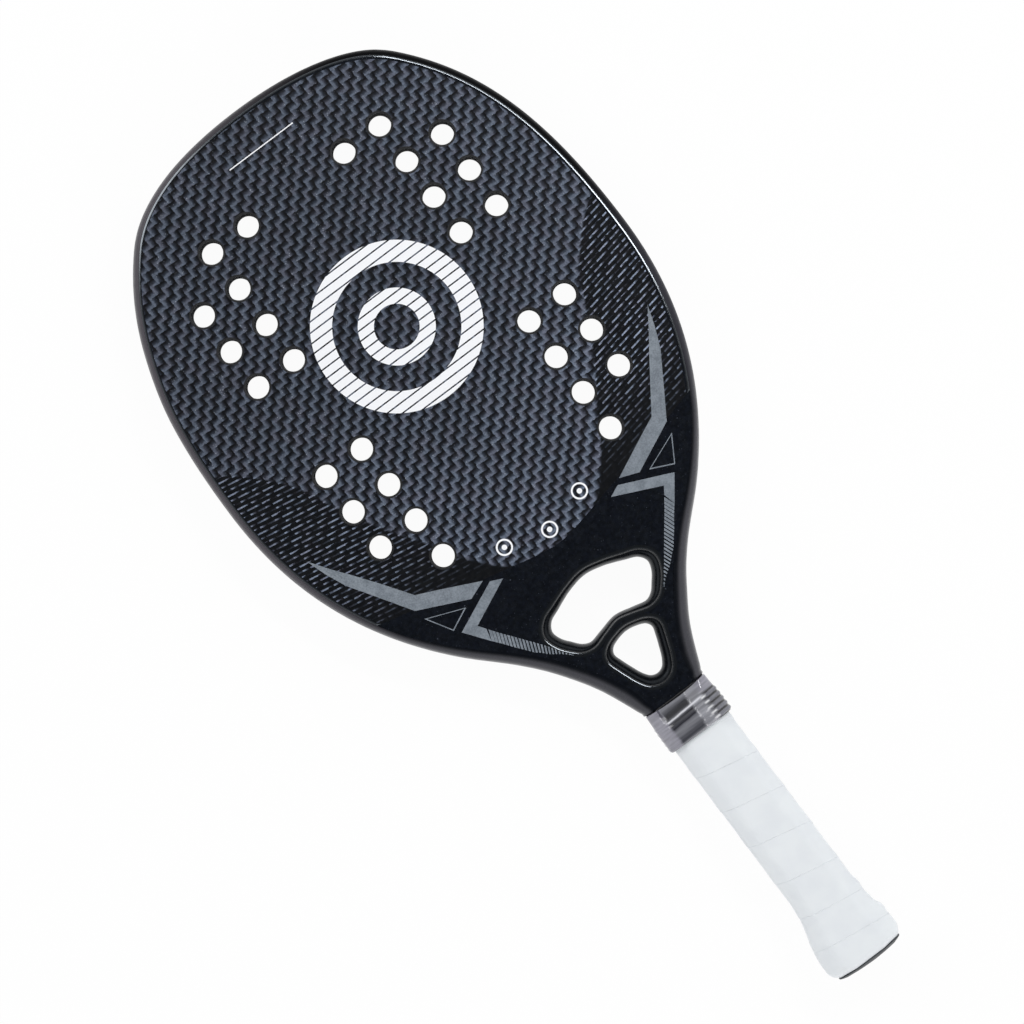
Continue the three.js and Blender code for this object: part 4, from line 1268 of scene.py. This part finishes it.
@dataclass
class Throat:
    """The moulded yoke with its two dished openings, and the black skin on each side of it."""

    yoke_bottom: float = 152.8
    yoke_gap: float = -0.3
    print_depth: float = 0.12
    profile: Rows = (
        (1, 1), (0.86, 0.965), (0.74, 0.86), (0.66, 0.7), (0.59, 0.5), (0.5, 0.34), (0.4, 0.21), (0.3, 0.115),
        (0.2, 0.05), (0.1, 0.012), (0, 0),
    )

    def dish(self, opening: Opening) -> Array:
        """An opening's wall: a short steep step under the rim, then a lip that bulges to the mid-plane.

        Each ring is the opening moved out by a share of the rim's width at a share of the half height.
        """
        place, out, rim = opening.lines()
        fine = spaced(np.array(self.profile, float), 34)
        fine = np.vstack([fine, mirrored(fine[:-1])])
        return np.stack([at_height(place + out * (rim * share)[:, None], height * OUTLINE.core_half)
                         for height, share in fine])

    def yoke(self) -> None:
        """The body of the throat between the tube's legs."""
        ring = OUTLINE.throat_ring(OUTLINE.clearance, self.yoke_bottom, self.yoke_gap)
        skin = Skin(("dish_lacquer",))
        skin.plate([straight(ring, OUTLINE.core_half, -OUTLINE.core_half), *map(self.dish, OPENINGS)], [],
                   Side.FRONT, wall="dish_lacquer", edge="dish_lacquer")
        skin.piece("dished_yoke", Slot.FRAME, "throat_yoke")

    def cover(self, side: Side) -> None:
        """One black skin over the yoke and the tube, flush with the woven sheet above it."""
        levels = OUTLINE.levels(side)
        rims = [straight(OUTLINE.throat_ring(None, OUTLINE.shoulder, 0.0), *levels)]
        for opening in OPENINGS:
            place, way, rim = replace(opening, count=opening.count * 4).lines()
            rims.append(shaped_wall(place + way * rim[:, None], -way, levels, RIM, side))
        skin = Skin(("satin_black", "silver_print", "rim_black"))
        skin.plate(rims, Stripes().shapes(), side, wall="rim_black", edge="satin_black",
                   over=self.print_depth)
        name = side.name.lower()
        skin.piece(f"{name}_throat_cover", Slot.SATIN, f"{name}_throat_skin")

    def build(self) -> None:
        """Makes the yoke and both covers."""
        self.yoke()
        for side in Side:
            self.cover(side)


# The handle


@dataclass(frozen=True)
class GripForm:
    """The handle's octagon with soft corners, its flare at the butt and its rounded end."""

    width: float = 31.8
    depth: float = 28.0
    bevel: float = 5.9
    flare_width: float = 4.6
    flare_depth: float = 3.8
    flare_length: float = 46.0
    flare_peak: float = 12.0
    end_length: float = 9.0
    end_depth: float = 11.5
    slim: float = 0.3
    lean: float = 1.2
    softness: float = 0.026
    corner_turns: tuple[float, ...] = (0.0, 0.1531, 0.2320, 0.4210, 0.5, 0.6531, 0.7320, 0.9210, 1.0)
    bumps: Rows = ((34.0, 2.4, 0.8), (18.2, 1.7, 0.7), (22.0, 1.8, -0.3), (14.0, 1.6, -0.5))

    def sizes(self, along: Array) -> Sizes:
        """Half-width, half-depth and bevel of the outside at places along the handle.

        The flare swells towards the butt from 0 to 1, and the end corner is rounded off.
        """
        rise = np.clip((self.flare_length - along) / (self.flare_length - self.flare_peak), 0.0, 1.0)
        flare = smoothstep(rise ** 1.5, 0.0, 1.0)
        past = np.clip(1.0 - along / self.end_length, 0.0, 1.0)
        rounding = self.end_depth * (1.0 - np.sqrt(1.0 - past * past))
        return (self.width / 2 - self.slim + flare * self.flare_width - rounding,
                self.depth / 2 + flare * self.flare_depth - rounding,
                self.bevel + flare * (self.flare_width + self.flare_depth) / 4)

    def sideways(self, along: Array, side: Array) -> Array:
        """How far a point moves across: the butt leans to the left, and its right side has small bumps.

        Args:
            along: Place along the handle.
            side: Place across, from -1 on the left to 1 on the right.

        Returns:
            The movement. A bump is its height times the exponential of less (distance over width) squared.
        """
        bumps = sum(height * np.exp(-((along - middle) / width) ** 2) for middle, width, height in self.bumps)
        lean = self.lean * (1.0 - smoothstep(along, 22.0, 44.0)) * lerp(0.6, 1.0, smoothstep(along, 1.0, 8.0))
        return bumps * np.clip(side, 0.0, 1.0) ** 2 - lean

    def octagon(self, turn: Array, sizes: Sizes) -> Array:
        """A point on an octagon's sides.

        Args:
            turn: Share of the way round, clockwise as seen from the butt, from the right side's lower end.
            sizes: Half-width, half-depth and what each corner is cut by, broadcast with turn.

        Returns:
            (..., 2): x and z.
        """
        a, b, c = (np.broadcast_to(size, turn.shape) for size in sizes)
        knots = np.stack([np.stack([a, a, a - c, c - a, -a, -a, c - a, a - c, a]),
                          np.stack([c - b, b - c, b, b, b - c, c - b, -b, -b, c - b])], axis=-1)
        shares = np.array(self.corner_turns)
        wrapped = np.mod(turn, 1.0)
        span = np.clip(np.searchsorted(shares, wrapped, side="right") - 1, 0, 7)
        part = (wrapped - shares[span]) / (shares[span + 1] - shares[span])
        here, after = (np.take_along_axis(knots, (span + step)[None, ..., None], axis=0)[0]
                       for step in (0, 1))
        return lerp(here, after, part[..., None])

    def soft(self, turn: Array, sizes: Sizes, softness: float) -> Array:
        """The octagon with its corners rounded: a weighted mean of the octagon's points nearby."""
        shifts = np.linspace(-1.0, 1.0, 9)
        weights = np.cos(shifts * math.pi / 2 * 0.9)
        weights /= weights.sum()
        return sum(weight * self.octagon(turn + shift * softness, sizes)
                   for shift, weight in zip(shifts, weights))

    def point(self, turn: Array, along: Array | float, swell: Array | float = 0.0) -> Array:
        """A point on the outside of the grip, moved out square to it by swell.

        Returns:
            (..., 3) in racket millimetres.
        """
        turn, along, swell = np.broadcast_arrays(turn, along, swell)
        sizes = self.sizes(along)
        plane, ahead, behind = (self.soft(turn + shift, sizes, self.softness)
                                for shift in (0.0, 0.004, -0.004))
        tangent = unit(ahead - behind)
        across = self.sideways(along, plane[..., 0] / sizes[0])
        plane = plane + np.stack([tangent[..., 1], -tangent[..., 0]], axis=-1) * swell[..., None]
        plane[..., 0] += across
        return along_handle(plane, along)


GRIP = GripForm()


@dataclass
class Overgrip:
    """One band wound up the handle, each turn lapped over the one below it."""

    seams: tuple[float, ...] = (-30.0, -14.0, 2.0, 18.0, 34.5, 54.0, 75.8, 96.5, 116.5, 137.3, 158.1, 178.9)
    seam_turn: float = 0.421
    lap: float = 4.2
    thickness: float = 1.0
    lip: float = 0.2
    bottom: float = 2.4
    top: float = 141.5
    samples_per_turn: int = 168

    @property
    def seam_turns(self) -> Array:
        """The turn at which the lower edge passes each seam that shows."""
        return np.arange(len(self.seams)) + self.seam_turn

    def helix(self, turn: Array) -> Array:
        """Height of the band's lower edge after some turns."""
        return np.interp(turn, self.seam_turns, self.seams)

    def profile(self) -> tuple[Array, Array]:
        """The band's section: place across it, where 1 is the next turn's edge, and height out.

        The lower edge lies a lip above the turn below and eases down. Past the next turn's edge the band
        sinks under it. The inside follows a thickness below, and thins out at the lower edge.
        """
        across = np.concatenate([np.linspace(0.0, 0.024, 6), [0.036, 0.06], np.linspace(0.1, 0.96, 14),
                                 np.linspace(0.99, 1.045, 6), [1.08, 1.14, 1.2]])
        edge = np.sqrt(np.clip(across / 0.018, 0.0, 1.0))
        rise = self.lip * edge * (1.0 - smoothstep(across, 0.05, 0.36))
        outer = rise - 0.16 * (1.0 - edge) - 0.64 * smoothstep(across, 0.996, 1.036)
        inner = lerp(-0.2, -0.46, smoothstep(across, 0.0, 0.036))
        inner = lerp(inner, -self.thickness, smoothstep(across, 0.26, 0.34))
        inner = np.minimum(inner, outer - 0.04)
        return np.concatenate([across, across[::-1]]), np.concatenate([outer, inner[::-1]])

    def build(self) -> None:
        """Winds the band: each section starts where the helix is, cut off level at both ends."""
        first, last = np.interp((self.bottom - 20.4, self.top), self.seams, self.seam_turns)
        turn = np.linspace(first, last, int((last - first) * self.samples_per_turn))[:, None]
        places, heights = self.profile()
        start = self.helix(turn)
        pitch = self.helix(turn + 1.0) - start
        along = start + np.minimum(places, 1.0) * pitch + np.maximum(places - 1.0, 0.0) / 0.2 * self.lap
        along = np.clip(along, self.bottom, self.top)
        wobble = 0.07 * np.sin(turn * 2 * math.pi * 0.37 + 1.0) * np.sin(turn * 2 * math.pi * 1.7)
        grid = GRIP.point(np.mod(turn, 1.0), along, heights + wobble * (heights > -0.15))
        piece = whole_piece(grid, "wound_overgrip", "white_overgrip", Slot.WRAP, "overgrip")
        self.map_band(piece.data)

    def map_band(self, mesh: bpy.types.Mesh) -> None:
        """Gives the band its own map, worked back from each corner's place on the handle.

        The place across the band is its height above the last edge below it, as a share of the way to the
        next edge.
        """
        places = np.empty(len(mesh.vertices) * 3)
        mesh.vertices.foreach_get("co", places)
        places = places.reshape(-1, 3) / METRE - RACKET_IN_ROW
        fine = turns(720)
        ring = GRIP.point(fine, 60.0)
        ring_angle = np.arctan2(ring[:, 2], ring[:, 0])
        order = np.argsort(ring_angle)
        angle = np.arctan2(places[:, 2], places[:, 0])
        turn = np.interp(angle, ring_angle[order], np.unwrap(fine[order], period=1.0))
        edges = self.helix(turn[:, None] + np.arange(-1, len(self.seams) + 1))
        under = np.sum(edges <= places[:, 1:2], axis=1) - 1
        rows = np.arange(len(places))
        low, high = edges[rows, under], edges[rows, np.minimum(under + 1, edges.shape[1] - 1)]
        across = (places[:, 1] - low) / np.maximum(high - low, 1e-6)
        loops = np.empty(len(mesh.loops), np.int32)
        mesh.loops.foreach_get("vertex_index", loops)
        layer = mesh.uv_layers.new(name="band")
        layer.data.foreach_set("uv", np.column_stack([turn[loops], across[loops]]).ravel())


@dataclass
class Collar:
    """The ribbed see-through collar over the top of the grip."""

    top: float = 155.3
    length: float = 20.8
    lap: float = 7.0
    wall: float = 0.8
    lip_half_width: float = 17.1
    lip_half_depth: float = 11.3
    lip_bevel: float = 3.8
    taped: float = 1.7
    rib_pitch: float = 2.8
    rib_height: float = 0.55
    rib_count: int = 5
    rounded: float = 0.45
    sides: int = 176
    levels: int = 150

    def ring(self, along: Array, swell: Array) -> Array:
        """The collar's ring: the neck's flatter section at its top runs into the grip's below.

        Args:
            along: Places along the handle, (n, 1).
            swell: How far the skin stands out, (n, 1) or (n, sides).

        Returns:
            (n, sides, 3) in racket millimetres.
        """
        open_ = 1.0 - smoothstep(along, self.top - self.length + self.lap, self.top)
        sizes = (lerp(self.lip_half_width, GRIP.width / 2 + self.taped, open_) + swell,
                 lerp(self.lip_half_depth, GRIP.depth / 2 + self.taped, open_) + swell,
                 lerp(self.lip_bevel, GRIP.bevel, open_))
        turn = np.broadcast_to(turns(self.sides), (len(along), self.sides))
        return along_handle(GRIP.soft(turn, sizes, 0.03), along)

    def build(self) -> None:
        """Up the outside over the ribs, round the thin top lip, and down the inside.

        The ribs are pressed nearly flat from the front's middle round to the left side.
        """
        bottom = self.top - self.length
        along = np.linspace(bottom, self.top, self.levels)[:, None]
        rib = np.clip((along - bottom) / self.rib_pitch, 0.0, self.rib_count)
        turn = turns(self.sides)
        pressed = smoothstep(turn, 0.24, 0.31) * (1.0 - smoothstep(turn, 0.56, 0.66))
        ribs = self.rib_height * (0.5 - 0.5 * np.cos(2 * math.pi * rib)) ** 0.8
        foot = self.rounded * (1.0 - smoothstep(along, bottom, bottom + 0.9))
        lip = 0.35 * smoothstep(along, self.top - 0.35, self.top)
        bore = -self.wall - self.rounded * (1.0 - smoothstep(along, bottom, bottom + 2.0))
        outside = self.ring(along, ribs * (1.0 - 0.8 * pressed) - (foot + lip))
        grid = np.concatenate([outside, self.ring(along[::-3], bore[::-3])])
        whole_piece(grid, "ribbed_collar", "smoked_rubber", Slot.COLLAR, "grip_collar", hollow=True)


@dataclass
class Underwrap:
    """The cushioned sleeve under the overgrip."""

    bottom: float = 34.3
    top: float = 141.5
    outside: float = -1.3
    thickness: float = 1.2

    def build(self) -> None:
        """A plain sleeve that follows the flare: up the outside and down the inside."""
        levels, turn = np.linspace(self.bottom, self.top, 60)[:, None], turns(96)
        grid = np.concatenate([GRIP.point(turn, levels, self.outside),
                               GRIP.point(turn, levels[::-1], self.outside - self.thickness)])
        whole_piece(grid, "cushion_sleeve", "cushion", Slot.CUSHION, "underwrap", hollow=True)


@dataclass
class ButtCap:
    """The flared cap under the overgrip: its outside follows the grip, its bore is a straight octagon."""

    bottom: float = 2.4
    top: float = 34.0
    outside: float = -1.4
    bore: Sizes = (13.4, 11.5, 4.4)

    def build(self) -> None:
        """Up the outside and down the bore."""
        levels, turn = np.linspace(self.bottom, self.top, 40)[:, None], turns(112)
        bore = GRIP.soft(turn, self.bore, 0.02)
        inner = [along_handle(bore, level) for level in (self.top, self.bottom)]
        grid = np.concatenate([GRIP.point(turn, levels, self.outside), inner])
        whole_piece(grid, "flared_cap", "cap_plastic", Slot.PLASTIC, "butt_cap", hollow=True)


@dataclass
class ButtPlug:
    """The plug that closes the butt: a domed lens with a shallow round recess, and a spigot in the cap."""

    flange: Sizes = (17.6, 14.6, 8.0)
    inner_shape: Sizes = (15.9, 14.0, 5.9)
    lean: float = 0.85
    recess: Rows = ((0.6, 0.5), (5.6, 0.5), (6.2, 0.44), (6.5, 0.25), (6.8, 0.06), (7.4, 0.0))
    dome: Rows = ((8.4, 0.05), (6.4, 0.18), (4.6, 0.42), (3.0, 0.78), (1.8, 1.18), (0.9, 1.55), (0.3, 1.85),
                  (0.0, 2.1), (0.15, 2.28), (1.2, 2.36), (3.2, 2.3), (4.3, 2.1), (4.3, 7.7))

    def build(self) -> None:
        """Rings from the middle of the end face outwards, over the rolled edge and up the spigot.

        The recess gives a radius and a place along for each ring, the dome an inset and a place along.
        """
        turn = turns(144)
        angle = np.arctan2(*GRIP.soft(turn, self.inner_shape, 0.03).T[::-1])
        circle = np.column_stack([np.cos(angle), np.sin(angle)])
        rings = []
        for radius, along in self.recess:
            shift = self.lean if radius < 4.0 else 0.0
            rings.append(along_handle(circle * radius - [shift, 0.0], along))
        for inset, along in self.dome:
            sizes = np.subtract(self.flange, (inset, inset, 0.3 * inset))
            shift = self.lean if along < 2.4 and inset < 4.0 else 0.0
            rings.append(along_handle(GRIP.soft(turn, sizes, 0.04) - [shift, 0.0], along))
        whole_piece(np.stack(rings), "end_plug", "slate_plastic", Slot.PLASTIC, "butt_plug")


def dress_inner_nodes() -> None:
    """Gives each solid that keeps its own mesh its finish."""
    for name, finish in INNER_NODES.items():
        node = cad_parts[name]
        node.data.materials.clear()
        node.data.materials.append(finish_of(finish))
        LOG.info("%s: %s", name, finish)


# Studio


@dataclass(frozen=True)
class Lamp:
    """A soft oblong lamp that looks at the racket."""

    name: str
    place: tuple[float, float, float]
    size: tuple[float, float]
    radiance: float
    target: tuple[float, float, float] = (0.0, 0.02, 0.01)

    def build(self) -> None:
        """Power is radiance times area times pi."""
        data = bpy.data.lights.new(self.name, "AREA")
        data.shape = "RECTANGLE"
        data.size, data.size_y = self.size
        data.energy = self.radiance * self.size[0] * self.size[1] * math.pi
        lamp = in_scene(self.name, data)
        lamp.location = self.place
        lamp.rotation_euler = (Vector(self.target) - Vector(self.place)).to_track_quat("-Z", "Y").to_euler()


@dataclass
class Studio:
    """Pale floor, soft light all round that is darker overhead, lamps, and the camera straight above."""

    camera_place: tuple[float, float, float] = (-0.00919, 0.0201, 2.8)
    camera_turn: float = -37.0
    frame_width: float = 0.4817
    subject_height: float = 0.0178
    floor_reach: float = 5.0
    floor_share: float = 0.96
    low_light: float = 1.1
    top_light: float = 0.1
    lamps: tuple[Lamp, ...] = (
        Lamp("side_lamp", (0.76, 0.4, 1.22), (1.0, 0.12), 19.0),
        Lamp("far_lamp", (-0.5, 1.1, 1.0), (0.7, 0.6), 3.0),
        Lamp("near_lamp", (-0.2, -1.3, 0.9), (0.8, 0.6), 3.2),
    )

    def build(self) -> None:
        """Sets up everything that isn't the racket."""
        self.floor()
        self.world()
        for lamp in self.lamps:
            lamp.build()
        self.camera()
        bpy.context.scene.view_settings.view_transform = "Standard"

    def floor(self) -> None:
        """A white plane that keeps a soft shadow: part glows white, part takes the light.

        It glows for a ray from the camera, and for one that a mirror or glass sends on.
        """
        mesh = bpy.data.meshes.new("floor")
        signs = ((-1, -1), (1, -1), (1, 1), (-1, 1))
        corners = [(x * self.floor_reach, y * self.floor_reach, 0) for x, y in signs]
        mesh.from_pydata(corners, [], [(0, 1, 2, 3)])
        floor = in_scene("floor", mesh)
        tree = Tree(bpy.data.materials.new("floor_paper"))
        tree.nodes.clear()
        rays = tree.node("LightPath").socket.node.outputs
        kinds = "Camera", "Glossy", "Transmission"
        seen, glossy, sent_on = (Value(tree, rays[f"Is {kind} Ray"]) for kind in kinds)
        glow = seen.math("MAXIMUM", glossy).math("MAXIMUM", sent_on) * self.floor_share
        matt = tree.node("BsdfDiffuse", {"Color": (0.9, 0.9, 0.9, 1)})
        tree.end("Material", tree.node("MixShader", {0: glow, 1: matt, 2: tree.node("Emission")}))
        mesh.materials.append(tree.owner)

    def world(self) -> None:
        """Soft light from all sides that is white at the horizon and dark overhead."""
        world = bpy.data.worlds.new("studio")
        bpy.context.scene.world = world
        tree = Tree(world)
        tree.nodes.clear()
        x, _, z = tree.node("TexCoord", output="Generated").parts()
        strength = z.step(0.5, 0.93, self.low_light, self.top_light) * x.step(-0.7, 0.7, 0.9, 0.88)
        tree.end("World", tree.node("Background", {"Color": (0.99, 0.995, 1.0, 1), "Strength": strength}))

    def camera(self) -> None:
        """Looks straight down, turned so that the racket leans as in the photograph."""
        data = bpy.data.cameras.new("camera")
        data.sensor_fit = "HORIZONTAL"
        data.angle = 2 * math.atan(self.frame_width / 2 / (self.camera_place[2] - self.subject_height))
        camera = in_scene("camera", data)
        camera.location = self.camera_place
        camera.rotation_euler = (0.0, 0.0, math.radians(self.camera_turn))
        bpy.context.scene.camera = camera


def main() -> None:
    """Builds the studio and then the racket, piece by piece."""
    logging.basicConfig(level=logging.INFO, format="%(message)s", stream=sys.stdout)
    Studio().build()
    for part in (Frame(), Head(), Throat(), Underwrap(), Overgrip(), Collar(), ButtCap(), ButtPlug()):
        LOG.info("building %s", type(part).__name__)
        part.build()
    dress_inner_nodes()


if __name__ == "__main__":
    main()
